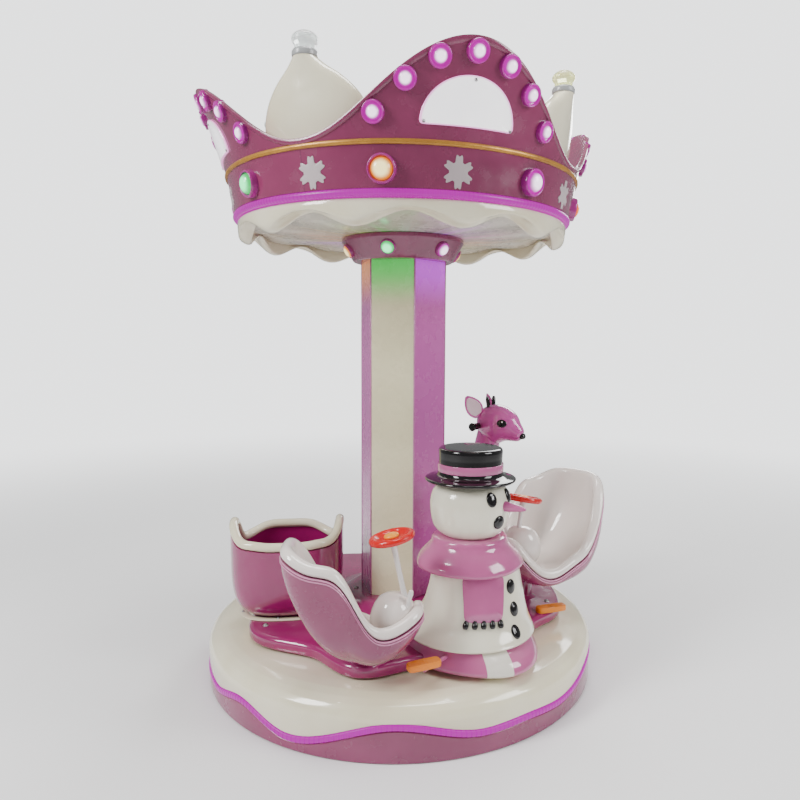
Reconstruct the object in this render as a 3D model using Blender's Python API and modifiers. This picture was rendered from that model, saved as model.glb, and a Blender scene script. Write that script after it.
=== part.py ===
"""Kiddie carousel with a snow theme: base, turntable, hexagonal column, lit crown, seats and figures.

Metres, +Z up. The origin is on the floor at the centre of the round base. -Y is the side that the
column's front face looks to. Angles named AZIMUTH are counted from +X towards +Y, in degrees.
"""
from math import cos, degrees, pi, radians, sin

import bmesh
import bpy
from mathutils import Matrix, Vector

GAP = 0.0003
WAVY_GAP = 0.0008

# Base
BASE_RADIUS = 0.650
SKIRT_INSET = 0.030
STRIP_HALF = 0.010
BASE_TOP = 0.170
BEARING_RADIUS = 0.085
TURN_LEVEL = 0.176

# Turntable star
PLATE_TOP = 0.182
STAR_TOP = 0.215
HUB_TOP = 0.250
HUB_RADIUS = 0.180
HUB_FOOT_RADIUS = 0.240

# Column and crown
COLUMN_RADIUS = 0.1474
CAPITAL_BOTTOM = 1.365
CAPITAL_TOP = 1.440
HEM_LEVEL = 1.430
HEM_SWING = 0.021
HEM_WAVES = 11
HEM_CREST = -73.0
CROWN_BOTTOM = 1.477
RING_HEIGHT = 0.020
CROWN_RADIUS = 0.546
CROWN_WALL = 0.012
CROWN_SLOPE = 0.115
CROWN_FLARE = 0.50
DECK_TOP = 1.590
STRIPE_LEVEL = 1.608
STRIPE_HALF = 0.007
VALLEY_LEVEL = 1.628
ARCH_LEVEL = 1.845
ARCHES = 4
ARCH_POWER = 1.05
ARCH_AZIMUTH = -58.3
LAMP_LEVEL = 1.543
BAND_MIDDLE = 1.550

# Seats
SEAT_NARROWING = 0.28
SEAT_SHELL = 0.0155
SEAT_BEAD = 0.016
SEATS = {
    "front": {"place": (0.018, -0.563), "heading": 15.0, "lift": 0.000, "half_length": 0.190,
              "half_width": 0.118, "reach": 0.000, "wheel_level": 0.580, "keel": (0.030, 0.045)},
    "right": {"place": (0.490, 0.078), "heading": 238.0, "lift": 0.070, "half_length": 0.222,
              "half_width": 0.150, "reach": 0.024, "wheel_level": 0.517, "keel": (0.035, -0.060)},
}
SEAT_FLOOR = 0.228
PEDESTAL_RADIUS = 0.028
WHEEL_AHEAD = 0.103
WHEEL_TILT = 12.0
WHEEL_RADIUS = 0.054
WHEEL_TUBE = 0.0095

# Tub seat
TUB_PLACE = (-0.335, -0.208)
TUB_TURN = 21.0
TUB_HALF = (0.182, 0.142)
TUB_WALL = 0.012
TUB_BEAD = 0.014

# Figures
SNOWMAN_PLACE = (0.285, -0.272)
SNOWMAN_FACING = -21.0
FOOT_RADIUS = 0.205
FOOT_BULGE = 0.034
FOOT_BULGE_AZIMUTH = -42.0
FOOT_BULGE_POWER = 6
FOOT_NARROW = 0.186
DEER_PLACE = (0.085, 0.500)
DEER_FACING = -22.0
DEER_BODY = (0.415, (0.155, 0.086, 0.086))
DEER_NECK = ((0.106, 0.0, 0.440), (0.175, 0.0, 0.765), 0.050)

SHARP_ANGLE = 35.0
AROUND = 60
CROWN_AROUND = 72
FIGURE_AROUND = 24

FINISHES = {
    "rose": ((0.50, 0.17, 0.31, 1.0), 0.22, 0.0),
    "magenta": ((0.42, 0.03, 0.20, 1.0), 0.25, 0.0),
    "snow_white": ((0.82, 0.80, 0.72, 1.0), 0.18, 0.0),
    "panel_white": ((0.86, 0.85, 0.78, 1.0), 0.30, 0.0),
    "strip_light": ((1.00, 0.12, 0.85, 1.0), 0.30, 0.0),
    "gold": ((0.62, 0.33, 0.05, 1.0), 0.30, 0.0),
    "steel": ((0.45, 0.45, 0.46, 1.0), 0.35, 1.0),
    "bulb": ((0.92, 0.93, 0.92, 1.0), 0.10, 0.0),
    "lamp_panel": ((0.98, 0.90, 0.98, 1.0), 0.30, 0.0),
    "red": ((0.80, 0.02, 0.02, 1.0), 0.25, 0.0),
    "black": ((0.01, 0.01, 0.01, 1.0), 0.15, 0.0),
    "orange": ((0.90, 0.30, 0.01, 1.0), 0.30, 0.0),
    "pink": ((0.62, 0.20, 0.38, 1.0), 0.22, 0.0),
}


def clear_scene():
    """Remove whatever the file holds."""
    for item in list(bpy.data.objects):
        bpy.data.objects.remove(item, do_unlink=True)


def make_collection(name):
    """Add a collection to the scene."""
    group = bpy.data.collections.new(name)
    bpy.context.scene.collection.children.link(group)
    return group


def make_finish(name):
    """Build the Principled material for one entry of FINISHES."""
    colour, roughness, metallic = FINISHES[name]
    finish = bpy.data.materials.new(name)
    finish.use_nodes = True
    shader = finish.node_tree.nodes["Principled BSDF"]
    shader.inputs["Base Color"].default_value = colour
    shader.inputs["Roughness"].default_value = roughness
    shader.inputs["Metallic"].default_value = metallic
    return finish


def add_object(name, mesh, finish):
    """Link a mesh as a named object with its own material, smooth where it is round."""
    item = bpy.data.objects.new(name, mesh)
    PARTS.objects.link(item)
    mesh.materials.clear()
    mesh.materials.append(make_finish(finish))
    mesh.shade_smooth()
    mesh.set_sharp_from_angle(angle=radians(SHARP_ANGLE))
    return item


def fill_quad(bm, a, b, c, d):
    """Fill a quad, or a triangle where two corners are one, split along its shorter diagonal."""
    corners = list(dict.fromkeys((a, b, c, d)))
    if len(corners) == 3:
        bm.faces.new(corners)
    elif (a.co - c.co).length < (b.co - d.co).length - 1e-7:
        bm.faces.new((a, b, c))
        bm.faces.new((a, c, d))
    else:
        bm.faces.new((a, b, d))
        bm.faces.new((b, c, d))


def skin(name, rows, wrap=False):
    """Close a body over rows of points: each row is a closed loop, and a one-point row is a pole."""
    bm = bmesh.new()
    loops = [[bm.verts.new(point) for point in row] for row in rows]
    following = loops[1:] + (loops[:1] if wrap else [])
    for lower, upper in zip(loops, following):
        count = max(len(lower), len(upper))
        for i in range(count):
            j = (i + 1) % count
            fill_quad(bm, lower[i % len(lower)], lower[j % len(lower)], upper[j % len(upper)],
                      upper[i % len(upper)])
    if not wrap:
        for end in (loops[0], loops[-1]):
            if len(end) > 1:
                bm.faces.new(end)
    bmesh.ops.recalc_face_normals(bm, faces=bm.faces)
    mesh = bpy.data.meshes.new(name)
    bm.to_mesh(mesh)
    bm.free()
    return mesh


def circle(radius, level, count=AROUND):
    """Points of a level circle; radius and level may vary with the angle."""
    points = []
    for i in range(count):
        angle = 2 * pi * i / count
        r = radius(angle) if callable(radius) else radius
        z = level(angle) if callable(level) else level
        points.append((r * cos(angle), r * sin(angle), z))
    return points


def turned(name, profile, count=24):
    """A solid of revolution from (radius, height) points; a zero radius is a pole on the axis."""
    rows = [[(0, 0, z)] if r == 0 else circle(r, z, count) for r, z in profile]
    return skin(name, rows)


def ring(name, profile, count=AROUND):
    """A ring whose section is the closed loop of (radius, height) pairs in profile."""
    return skin(name, [circle(r, z, count) for r, z in profile], wrap=True)


def smooth_table(pairs, value):
    """Read a table of (place, size) pairs with a smooth step between neighbours."""
    for (a, low), (b, high) in zip(pairs, pairs[1:]):
        if value <= b:
            t = min(max((value - a) / (b - a), 0.0), 1.0)
            return low + (high - low) * t * t * (3 - 2 * t)
    return pairs[-1][1]


def place(item, x, y, z=0.0, turn=0.0):
    """Stand an object at a point and turn it about the vertical, in degrees."""
    item.location = (x, y, z)
    item.rotation_euler = (0.0, 0.0, radians(turn))
    return item


def modified(item, kind, name, **settings):
    """Add a modifier with its settings."""
    modifier = item.modifiers.new(name, kind)
    for key, value in settings.items():
        setattr(modifier, key, value)
    return modifier


def cutter(name, mesh):
    """Keep a mesh in the tools collection, for Booleans only."""
    item = bpy.data.objects.new(name, mesh)
    TOOLS.objects.link(item)
    item.hide_render = True
    item.display_type = "WIRE"
    return item


def join_with(item, tool):
    """Fuse a tool's shape with an object."""
    modified(item, "BOOLEAN", "join_" + tool.name, operation="UNION", object=tool, solver="EXACT")


def cut_with(item, tool):
    """Cut a tool's shape out of an object."""
    modified(item, "BOOLEAN", "cut_" + tool.name, operation="DIFFERENCE", object=tool, solver="EXACT")


def bar_mesh(name, start, end, radius, sides=10, end_radius=None):
    """A round bar between two points, tapered where its end has a radius of its own."""
    start = Vector(start)
    end = Vector(end)
    bm = bmesh.new()
    bmesh.ops.create_cone(bm, cap_ends=True, segments=sides, radius1=radius, radius2=end_radius or radius,
                          depth=(end - start).length)
    aim = (end - start).to_track_quat("Z", "Y").to_matrix().to_4x4()
    bmesh.ops.transform(bm, matrix=Matrix.Translation((start + end) / 2) @ aim, verts=bm.verts)
    mesh = bpy.data.meshes.new(name)
    bm.to_mesh(mesh)
    bm.free()
    return mesh


def ball_mesh(name, centre, sizes, segments=16, rings=10):
    """An ellipsoid of the given half sizes."""
    bm = bmesh.new()
    bmesh.ops.create_uvsphere(bm, u_segments=segments, v_segments=rings, radius=1.0)
    shape = Matrix.Translation(centre) @ Matrix.Diagonal((*sizes, 1.0))
    bmesh.ops.transform(bm, matrix=shape, verts=bm.verts)
    mesh = bpy.data.meshes.new(name)
    bm.to_mesh(mesh)
    bm.free()
    return mesh


SKIRT_SETBACK = 0.002
SKIRT_FOOT = 0.006
SKIRT_FOOT_INSET = 0.004
SNOW_UNDERSIDE = 0.012
SNOW_SHOULDER = [(0.650, 0.118), (0.640, 0.140), (0.618, 0.157), (0.580, 0.168), (0.520, 0.170)]
STRIP_WAVE = [(-135.0, 0.050), (-119.9, 0.080), (-102.9, 0.034), (-76.0, 0.102), (-54.0, 0.0615),
              (-42.0, 0.066), (-29.0, 0.058), (0.0, 0.095), (28.0, 0.045), (60.0, 0.085), (90.0, 0.050),
              (117.0, 0.090), (148.0, 0.042), (180.0, 0.088), (202.0, 0.048), (225.0, 0.050)]


def wave(angle):
    """Height of the light strip round the base, a slow uneven wave through the crests and dips above."""
    azimuth = (degrees(angle) + 135.0) % 360.0 - 135.0
    return smooth_table(STRIP_WAVE, azimuth)


def build_base():
    """Pink skirt, light strip and snow-covered housing, with the bearing that carries the turntable."""
    inner = BASE_RADIUS - SKIRT_INSET
    outer = BASE_RADIUS - SKIRT_SETBACK
    skirt_top = lambda angle: wave(angle) - STRIP_HALF
    strip_low = lambda angle: wave(angle) - STRIP_HALF + WAVY_GAP
    strip_top = lambda angle: wave(angle) + STRIP_HALF - WAVY_GAP
    snow_low = lambda angle: wave(angle) + STRIP_HALF
    skirt = [(inner, 0.0), (outer - SKIRT_FOOT_INSET, 0.0), (outer, SKIRT_FOOT), (outer, skirt_top),
             (inner, skirt_top)]
    add_object("base_skirt", ring("base_skirt", skirt), "rose")
    strip = [(inner, strip_low), (BASE_RADIUS, strip_low), (BASE_RADIUS, strip_top), (inner, strip_top)]
    add_object("base_light_strip", ring("base_light_strip", strip), "strip_light")
    core = inner - GAP
    hole = BEARING_RADIUS + GAP
    snow = [(hole, SNOW_UNDERSIDE), (core, SNOW_UNDERSIDE), (core, snow_low), (outer, snow_low)]
    add_object("snow_base", ring("snow_base", snow + SNOW_SHOULDER + [(hole, BASE_TOP)]), "snow_white")
    bearing = [(0, 0.0), (BEARING_RADIUS, 0.0), (BEARING_RADIUS, TURN_LEVEL - GAP), (0, TURN_LEVEL - GAP)]
    add_object("turntable_bearing", turned("turntable_bearing", bearing, AROUND), "steel")


STAR_FACETS = 72
STAR_EDGE = 0.008
POST_ROOT = 0.020
DEER_POST_RADIUS = 0.016
STAR_OUTLINE = [(5, 0.550), (33, 0.560), (55, 0.475), (78, 0.545), (112, 0.465), (150, 0.550), (183, 0.480),
                (205, 0.500), (227, 0.545), (252, 0.487), (272, 0.548), (293, 0.484), (321, 0.552),
                (345, 0.490), (365, 0.550)]


def star_radius(angle):
    """Outline of the star plate: arms under the seats and figures."""
    azimuth = degrees(angle) % 360
    if azimuth < STAR_OUTLINE[0][0]:
        azimuth += 360
    return smooth_table(STAR_OUTLINE, azimuth)


def build_star():
    """Magenta star plate with a raised hub; its underside runs on the bearing, clear of the snow."""
    rows = [
        [(0, 0, TURN_LEVEL)],
        circle(star_radius, TURN_LEVEL, STAR_FACETS),
        circle(star_radius, STAR_TOP - STAR_EDGE, STAR_FACETS),
        circle(lambda angle: star_radius(angle) - STAR_EDGE, STAR_TOP, STAR_FACETS),
        circle(HUB_FOOT_RADIUS, STAR_TOP, STAR_FACETS),
        circle(HUB_RADIUS, HUB_TOP, STAR_FACETS),
        [(0, 0, HUB_TOP)],
    ]
    star = add_object("star_plate", skin("star_plate", rows), "magenta")
    outline = lambda angle: foot_radius(angle) + 2 * GAP
    rows = [circle(outline, level, FIGURE_AROUND) for level in (PLATE_TOP, HUB_TOP + POST_ROOT)]
    cut_with(star, place(cutter("snowman_seat", skin("snowman_seat", rows)), *SNOWMAN_PLACE))
    root = STAR_TOP - POST_ROOT
    for side, spot in SEATS.items():
        turn = Matrix.Rotation(radians(spot["heading"]), 3, "Z")
        foot = Vector((*spot["place"], 0)) + turn @ Vector((*spot["keel"], 0))
        top = SEAT_FLOOR + spot["lift"] - GAP
        pedestal = bar_mesh("pedestal", (foot.x, foot.y, root), (foot.x, foot.y, top), PEDESTAL_RADIUS, 16)
        join_with(star, cutter("pedestal_" + side, pedestal))
    deer_top = DEER_BODY[0] - DEER_BODY[1][2] - GAP
    post = bar_mesh("deer_post", (*DEER_PLACE, root), (*DEER_PLACE, deer_top), DEER_POST_RADIUS)
    join_with(star, cutter("deer_post", post))


CAPITAL_PROFILE = [(0, CAPITAL_BOTTOM), (0.165, CAPITAL_BOTTOM), (0.171, CAPITAL_BOTTOM + 0.008),
                   (0.205, CAPITAL_TOP - 0.012), (0.205, CAPITAL_TOP - GAP), (0, CAPITAL_TOP - GAP)]


def build_column():
    """Closed hexagonal housing and the round capital that carries the crown."""
    low = HUB_TOP + GAP
    high = CAPITAL_BOTTOM - GAP
    column = turned("column", [(0, low), (COLUMN_RADIUS, low), (COLUMN_RADIUS, high), (0, high)], 6)
    add_object("column", column, "panel_white")
    add_object("capital", turned("capital", CAPITAL_PROFILE, 32), "rose")


def crown_radius(level):
    """Outer radius of the crown wall: it flares out more and more towards the arch tops."""
    rise = max(level - CROWN_BOTTOM - RING_HEIGHT / 2, 0.0)
    return CROWN_RADIUS + CROWN_SLOPE * rise + CROWN_FLARE * rise * rise


def arch_height(angle):
    """Top edge of the crown at an angle from an arch's crest: a broad crest between rounded valleys."""
    swing = 0.5 + 0.5 * cos(ARCHES * angle)
    return VALLEY_LEVEL + (ARCH_LEVEL - VALLEY_LEVEL) * swing ** ARCH_POWER


PANEL_SHARES = (0.0, 0.36, 0.70, 0.96)
PANEL_EDGE = 0.004


def crown_panel_section(angle):
    """The closed section of a crown panel at an angle from its arch's crest: up outside, down inside."""
    lowest = STRIPE_LEVEL + STRIPE_HALF
    rise = arch_height(angle) - lowest
    levels = [CROWN_BOTTOM + RING_HEIGHT, BAND_MIDDLE, STRIPE_LEVEL - STRIPE_HALF]
    levels += [lowest + rise * share for share in PANEL_SHARES]
    outer = [(crown_radius(level), level) for level in levels]
    top = arch_height(angle)
    edge = [(crown_radius(top) - inset, top) for inset in (PANEL_EDGE, CROWN_WALL - PANEL_EDGE)]
    inner = [(r - CROWN_WALL, level) for r, level in reversed(outer)]
    return [(r * cos(angle), r * sin(angle), z) for r, z in outer + edge + inner]


BAND_LAMPS = (-22.2, 22.8)
BAND_SOCKET = (0.038, 0.020)
ARCH_LAMPS = [(-24.0, 1.674), (-16.2, 1.746), (-8.5, 1.795), (0.0, 1.814), (8.5, 1.795), (16.2, 1.746),
              (24.0, 1.674)]
ARCH_SOCKET = (0.031, 0.012)
SOCKET_ROOT = 0.006
SLOPE_STEP = 0.010


def lamp_socket(azimuth, level, radius, depth):
    """A socket that stands square on a crown panel."""
    angle = radians(azimuth)
    slope = (crown_radius(level + SLOPE_STEP) - crown_radius(level - SLOPE_STEP)) / (2 * SLOPE_STEP)
    aim = Vector((cos(angle), sin(angle), -slope)).normalized()
    foot = Vector((crown_radius(level) * cos(angle), crown_radius(level) * sin(angle), level))
    return bar_mesh("socket", foot - aim * SOCKET_ROOT, foot + aim * depth, radius, 8)


UNDERSIDE_PROFILE = [(0, CAPITAL_TOP), (0.300, CAPITAL_TOP), (0.305, CAPITAL_TOP + 0.010),
                     (0.400, CAPITAL_TOP + 0.013), (0.405, CAPITAL_TOP + 0.024), (0.498, CAPITAL_TOP + 0.027),
                     (0.498, CROWN_BOTTOM - GAP), (0, CROWN_BOTTOM - GAP)]
SKIRT_SHOULDER = 1.455
SKIRT_RADII = (0.499, 0.488, 0.500, 0.524, 0.537, 0.535)
HEM_RISE_INSIDE = 0.004
HEM_RISE_OUTSIDE = 0.010
RING_INNER = 0.500
RING_FLARE = 0.002
STRIPE_DEPTH = 0.005
STRIPE_EDGE = 0.002
DECK_GAPS = (0.001, 0.003)


def build_crown():
    """Underside, wavy snow skirt, light ring, arched panels with lamp sockets, stripe, deck and peaks."""
    add_object("crown_underside", turned("crown_underside", UNDERSIDE_PROFILE, 48), "snow_white")
    hem = lambda angle: HEM_LEVEL + HEM_SWING * cos(HEM_WAVES * (angle - radians(HEM_CREST)))
    hem_inside = lambda angle: hem(angle) + HEM_RISE_INSIDE
    hem_outside = lambda angle: hem(angle) + HEM_RISE_OUTSIDE
    inner, lip, crest, belly, shoulder, neck = SKIRT_RADII
    skirt = [(inner, CROWN_BOTTOM - GAP), (inner, SKIRT_SHOULDER), (lip, hem_inside), (crest, hem),
             (belly, hem_outside), (shoulder, SKIRT_SHOULDER), (neck, CROWN_BOTTOM - GAP)]
    add_object("snow_skirt", ring("snow_skirt", skirt, CROWN_AROUND), "snow_white")
    top = CROWN_BOTTOM + RING_HEIGHT
    light = [(RING_INNER, CROWN_BOTTOM), (CROWN_RADIUS, CROWN_BOTTOM), (CROWN_RADIUS + RING_FLARE, top - GAP),
             (RING_INNER, top - GAP)]
    add_object("crown_light_ring", ring("crown_light_ring", light), "strip_light")
    build_crown_panels()
    low, high = STRIPE_LEVEL - STRIPE_HALF, STRIPE_LEVEL + STRIPE_HALF
    gold = [(crown_radius(low) + GAP, low), (crown_radius(low) + STRIPE_DEPTH, low + STRIPE_EDGE),
            (crown_radius(high) + STRIPE_DEPTH, high - STRIPE_EDGE), (crown_radius(high) + GAP, high)]
    stripe = add_object("gold_stripe", ring("gold_stripe", gold, CROWN_AROUND), "gold")
    place(stripe, 0, 0, 0, ARCH_AZIMUTH)
    low_gap, high_gap = DECK_GAPS
    deck = [(0, top), (crown_radius(top) - CROWN_WALL - low_gap, top),
            (crown_radius(DECK_TOP) - CROWN_WALL - high_gap, DECK_TOP), (0, DECK_TOP)]
    add_object("crown_deck", turned("crown_deck", deck, CROWN_AROUND), "rose")
    for k in range(ARCHES):
        build_peak(k + 1, ARCH_AZIMUTH - 45 + 90 * k)
        build_half_moon(k + 1, ARCH_AZIMUTH + 90 * k)


def build_crown_panels():
    """Four like panels, one to each arch, that meet in the valleys; each carries its lamp sockets."""
    steps = CROWN_AROUND // ARCHES
    half = radians(45.0) - GAP / (2 * CROWN_RADIUS)
    rows = [crown_panel_section(half * (2 * i / steps - 1)) for i in range(steps + 1)]
    sockets = [lamp_socket(swing, LAMP_LEVEL, *BAND_SOCKET) for swing in BAND_LAMPS]
    sockets += [lamp_socket(swing, level, *ARCH_SOCKET) for swing, level in ARCH_LAMPS]
    gathered = bmesh.new()
    for mesh in sockets:
        gathered.from_mesh(mesh)
    mesh = bpy.data.meshes.new("lamp_sockets")
    gathered.to_mesh(mesh)
    gathered.free()
    for k in range(ARCHES):
        azimuth = ARCH_AZIMUTH + 90 * k
        panel = add_object("crown_panel_%d" % (k + 1), skin("crown_panel", rows), "rose")
        place(panel, 0, 0, 0, azimuth)
        join_with(panel, place(cutter("lamp_sockets_%d" % (k + 1), mesh), 0, 0, 0, azimuth))


PEAK_SECTIONS = [(0.000, 0.486, 0.165, 0.048), (0.060, 0.488, 0.168, 0.050), (0.120, 0.500, 0.152, 0.050),
                 (0.165, 0.512, 0.120, 0.045), (0.200, 0.524, 0.084, 0.038), (0.228, 0.534, 0.050, 0.033),
                 (0.248, 0.540, 0.033, 0.031)]
PEAK_FACETS = 16
BULB_PROFILE = [(0, 0.0), (0.034, 0.0), (0.034, 0.018), (0.029, 0.020), (0.035, 0.036), (0.034, 0.048),
                (0.024, 0.062), (0, 0.068)]


def build_peak(number, azimuth):
    """A snow peak behind each valley: broad along the rim, thin across it, with a collared bulb on top."""
    turns = [2 * pi * i / PEAK_FACETS for i in range(PEAK_FACETS)]
    foot = DECK_TOP + GAP
    rows = [[(centre + half_depth * cos(turn), half_width * sin(turn), foot + rise) for turn in turns]
            for rise, centre, half_width, half_depth in PEAK_SECTIONS]
    peak = add_object("snow_peak_%d" % number, skin("snow_peak", rows), "snow_white")
    place(peak, 0, 0, 0, azimuth)
    rise, centre, half_width, half_depth = PEAK_SECTIONS[-1]
    bulb = add_object("peak_bulb_%d" % number, turned("peak_bulb", BULB_PROFILE, PEAK_FACETS), "bulb")
    angle = radians(azimuth)
    place(bulb, centre * cos(angle), centre * sin(angle), foot + rise + GAP)


HALF_MOON_LOW = 1.648
HALF_MOON_RISE = 0.114
HALF_MOON_HALF_ANGLE = 12.8
HALF_MOON_STEPS = 6
HALF_MOON_DEPTH = 0.003
HALF_MOON_STANDOFF = 0.0016


def build_half_moon(number, azimuth):
    """A curved light panel, a half disc that lies on the arch."""
    rows = []
    for step in range(HALF_MOON_STEPS):
        share = step / HALF_MOON_STEPS
        level = HALF_MOON_LOW + HALF_MOON_RISE * share
        half = radians(HALF_MOON_HALF_ANGLE) * (1 - share * share) ** 0.5
        angles = [radians(azimuth) + half * (2 * i / HALF_MOON_STEPS - 1) for i in range(HALF_MOON_STEPS + 1)]
        near = crown_radius(level) + HALF_MOON_STANDOFF
        far = near + HALF_MOON_DEPTH
        outer = [(far * cos(a), far * sin(a), level) for a in angles]
        inner = [(near * cos(a), near * sin(a), level) for a in reversed(angles)]
        rows.append(outer + inner)
    add_object("half_moon_%d" % number, skin("half_moon", rows), "lamp_panel")


SEAT_RIM_RIGHT = [(-1.0, 0.556), (-0.93, 0.553), (-0.62, 0.524), (-0.12, 0.508), (0.30, 0.350), (0.48, 0.350),
                  (1.0, 0.386)]
SEAT_RIM_LEFT = [(-1.0, 0.556), (-0.93, 0.545), (-0.25, 0.335), (0.10, 0.316), (0.85, 0.322), (1.0, 0.386)]
SEAT_SQUARENESS = 3.2
SEAT_SHARES = (0.25, 0.48, 0.68, 0.84, 0.95)
SEAT_FULLNESS = (2.4, -0.8)
SEAT_FACETS = 24
BEAD_TURNS = (-90, -40, 10, 60, 110, 180)


def seat_rim(forward, left):
    """Rim height of a seat: one shoulder on its right side, a low entry on its left, a raised toe."""
    return smooth_table(SEAT_RIM_LEFT if left > 0 else SEAT_RIM_RIGHT, forward)


def superellipse(angle, squareness):
    """A point of the unit superellipse, between a circle and a square."""
    reach = (abs(cos(angle)) ** squareness + abs(sin(angle)) ** squareness) ** (-1 / squareness)
    return cos(angle) * reach, sin(angle) * reach


def bowl_rows(shape, inset, shares, rim):
    """Rows of a bowl from near its keel to its rim, set in from its outer face."""
    rows = []
    for share in shares:
        loop = []
        for i in range(shape["count"]):
            forward, left = superellipse(2 * pi * i / shape["count"], shape["squareness"])
            power = shape["fullness"](forward)
            out = sin(share * pi / 2) ** (2 / power)
            lift = 1 - cos(share * pi / 2) ** (2 / power)
            low = shape["floor"] + inset
            taper = 1 - shape["narrowing"] * max(forward, 0.0) ** 1.5
            keel_x, keel_y = (value * (1 - out) for value in shape["keel"])
            loop.append(((shape["length"] - inset) * forward * out + keel_x,
                         (shape["width"] - inset) * left * taper * out + keel_y,
                         low + (rim(forward, left) - low) * lift))
        rows.append(loop)
    return rows


def bead_rows(shape, radius, angles, outset=0.0):
    """Rows of the rolled rim: parts of a circle carried round the bowl's outline."""
    rows = []
    for turn in angles:
        inset = radius - radius * cos(radians(turn)) - outset
        loop = []
        for i in range(shape["count"]):
            forward, left = superellipse(2 * pi * i / shape["count"], shape["squareness"])
            taper = 1 - shape["narrowing"] * max(forward, 0.0) ** 1.5
            loop.append(((shape["length"] - inset) * forward, (shape["width"] - inset) * left * taper,
                         shape["rim"](forward, left) + radius * sin(radians(turn))))
        rows.append(loop)
    return rows


def seat_meshes(keel, half_length, half_width):
    """The two bodies of a slipper seat: pink outer shell, and white liner with a wide rolled rim."""
    middle, ends = SEAT_FULLNESS
    shape = {"length": half_length, "width": half_width, "narrowing": SEAT_NARROWING,
             "floor": SEAT_FLOOR, "count": SEAT_FACETS, "squareness": SEAT_SQUARENESS, "keel": keel,
             "rim": seat_rim, "fullness": lambda forward: middle + ends * forward * forward}
    edge = lambda forward, left: seat_rim(forward, left) - SEAT_BEAD - GAP
    bead_low = lambda forward, left: seat_rim(forward, left) - SEAT_BEAD
    outer = bowl_rows(shape, 0.0, SEAT_SHARES + (1.0,), edge)
    inner = bowl_rows(shape, SEAT_SHELL, SEAT_SHARES + (1.0,), edge)
    shell = skin("seat_shell", [[(*keel, SEAT_FLOOR)]] + outer + inner[::-1]
                 + [[(*keel, SEAT_FLOOR + SEAT_SHELL)]])
    under = bowl_rows(shape, SEAT_BEAD, SEAT_SHARES, bead_low)
    roll = bead_rows(shape, SEAT_BEAD, BEAD_TURNS)
    over = bowl_rows(shape, 2 * SEAT_BEAD, SEAT_SHARES, seat_rim)
    liner = skin("seat_liner", [[(*keel, SEAT_FLOOR + SEAT_BEAD)]] + under + roll + over[::-1]
                 + [[(*keel, SEAT_FLOOR + 2 * SEAT_BEAD)]])
    return shell, liner


WHEEL_UNDER = -0.004
WEB_RADIUS = WHEEL_RADIUS - 0.010
WHEEL_FACETS = 18


def wheel_mesh():
    """Steering wheel about +Z at the origin: a rim, a dished web and a hub, in one moulding."""
    tube = [(WHEEL_RADIUS + WHEEL_TUBE * cos(radians(a)), WHEEL_TUBE * sin(radians(a)))
            for a in range(-150, 180, 60)]
    profile = [(0, WHEEL_UNDER), (0.018, WHEEL_UNDER), (WEB_RADIUS, WHEEL_UNDER + 0.001)] + tube
    profile += [(WEB_RADIUS, 0.001), (0.020, 0.002), (0.017, 0.010), (0, 0.012)]
    return turned("wheel", profile, WHEEL_FACETS)


CONSOLE = ((0.100, 0.0, 0.357), (0.050, 0.052, 0.065))
COWL = ((0.122, 0.0, 0.376), (0.040, 0.055, 0.034))
GRIP = ((0.138, -0.030, 0.372), (0.156, -0.036, 0.445))
GRIP_RADIUS = 0.006
POST_FOOT = 0.374
POST_RADIUS = 0.0075


def build_seats():
    """Two slipper seats, each with a console, two short posts and a steering wheel that turns."""
    lean = Vector((-sin(radians(WHEEL_TILT)), 0, cos(radians(WHEEL_TILT))))
    for side, spot in SEATS.items():
        x, y = spot["place"]
        heading = radians(spot["heading"])
        frame = (x, y, spot["lift"], spot["heading"])
        shell_mesh, liner_mesh = seat_meshes(spot["keel"], spot["half_length"], spot["half_width"])
        place(add_object("seat_shell_" + side, shell_mesh, "rose"), *frame)
        liner = place(add_object("seat_liner_" + side, liner_mesh, "snow_white"), *frame)
        front = (x + spot["reach"] * cos(heading), y + spot["reach"] * sin(heading), *frame[2:])
        wheel_at = Vector((WHEEL_AHEAD, 0, spot["wheel_level"]))
        foot = wheel_at - lean * (wheel_at.z - POST_FOOT)
        console = ball_mesh("console_" + side, *CONSOLE)
        cowl = ball_mesh("cowl_" + side, *COWL)
        post = bar_mesh("post_" + side, foot, wheel_at + lean * (WHEEL_UNDER - GAP), POST_RADIUS)
        grip = bar_mesh("grip_" + side, *GRIP, GRIP_RADIUS)
        for mesh in (console, cowl, post, grip):
            join_with(liner, place(cutter(mesh.name, mesh), *front))
        wheel = add_object("steering_wheel_" + side, wheel_mesh(), "red")
        wheel.matrix_world = (Matrix.Translation(front[:3]) @ Matrix.Rotation(heading, 4, "Z")
                              @ Matrix.Translation(wheel_at) @ Matrix.Rotation(radians(-WHEEL_TILT), 4, "Y"))


TUB_RIM_NEAR = [(0.0, 0.458), (0.55, 0.462), (0.92, 0.484), (1.0, 0.512)]
TUB_RIM_FAR = [(0.0, 0.466), (0.5, 0.462), (0.80, 0.440), (0.93, 0.446), (1.0, 0.512)]
TUB_FACETS = 32


TUB_SHARES = (0.30, 0.60, 0.84, 0.96, 1.0)
TUB_SQUARENESS = 2.6
TUB_FULLNESS = 5.0
TUB_OUTSET = 0.2


def tub_rim(forward, left):
    """Rim height of the tub: a horn at both ends, a low outer side, an arch on the side to the column."""
    return smooth_table(TUB_RIM_FAR if left > 0 else TUB_RIM_NEAR, abs(forward))


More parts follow.
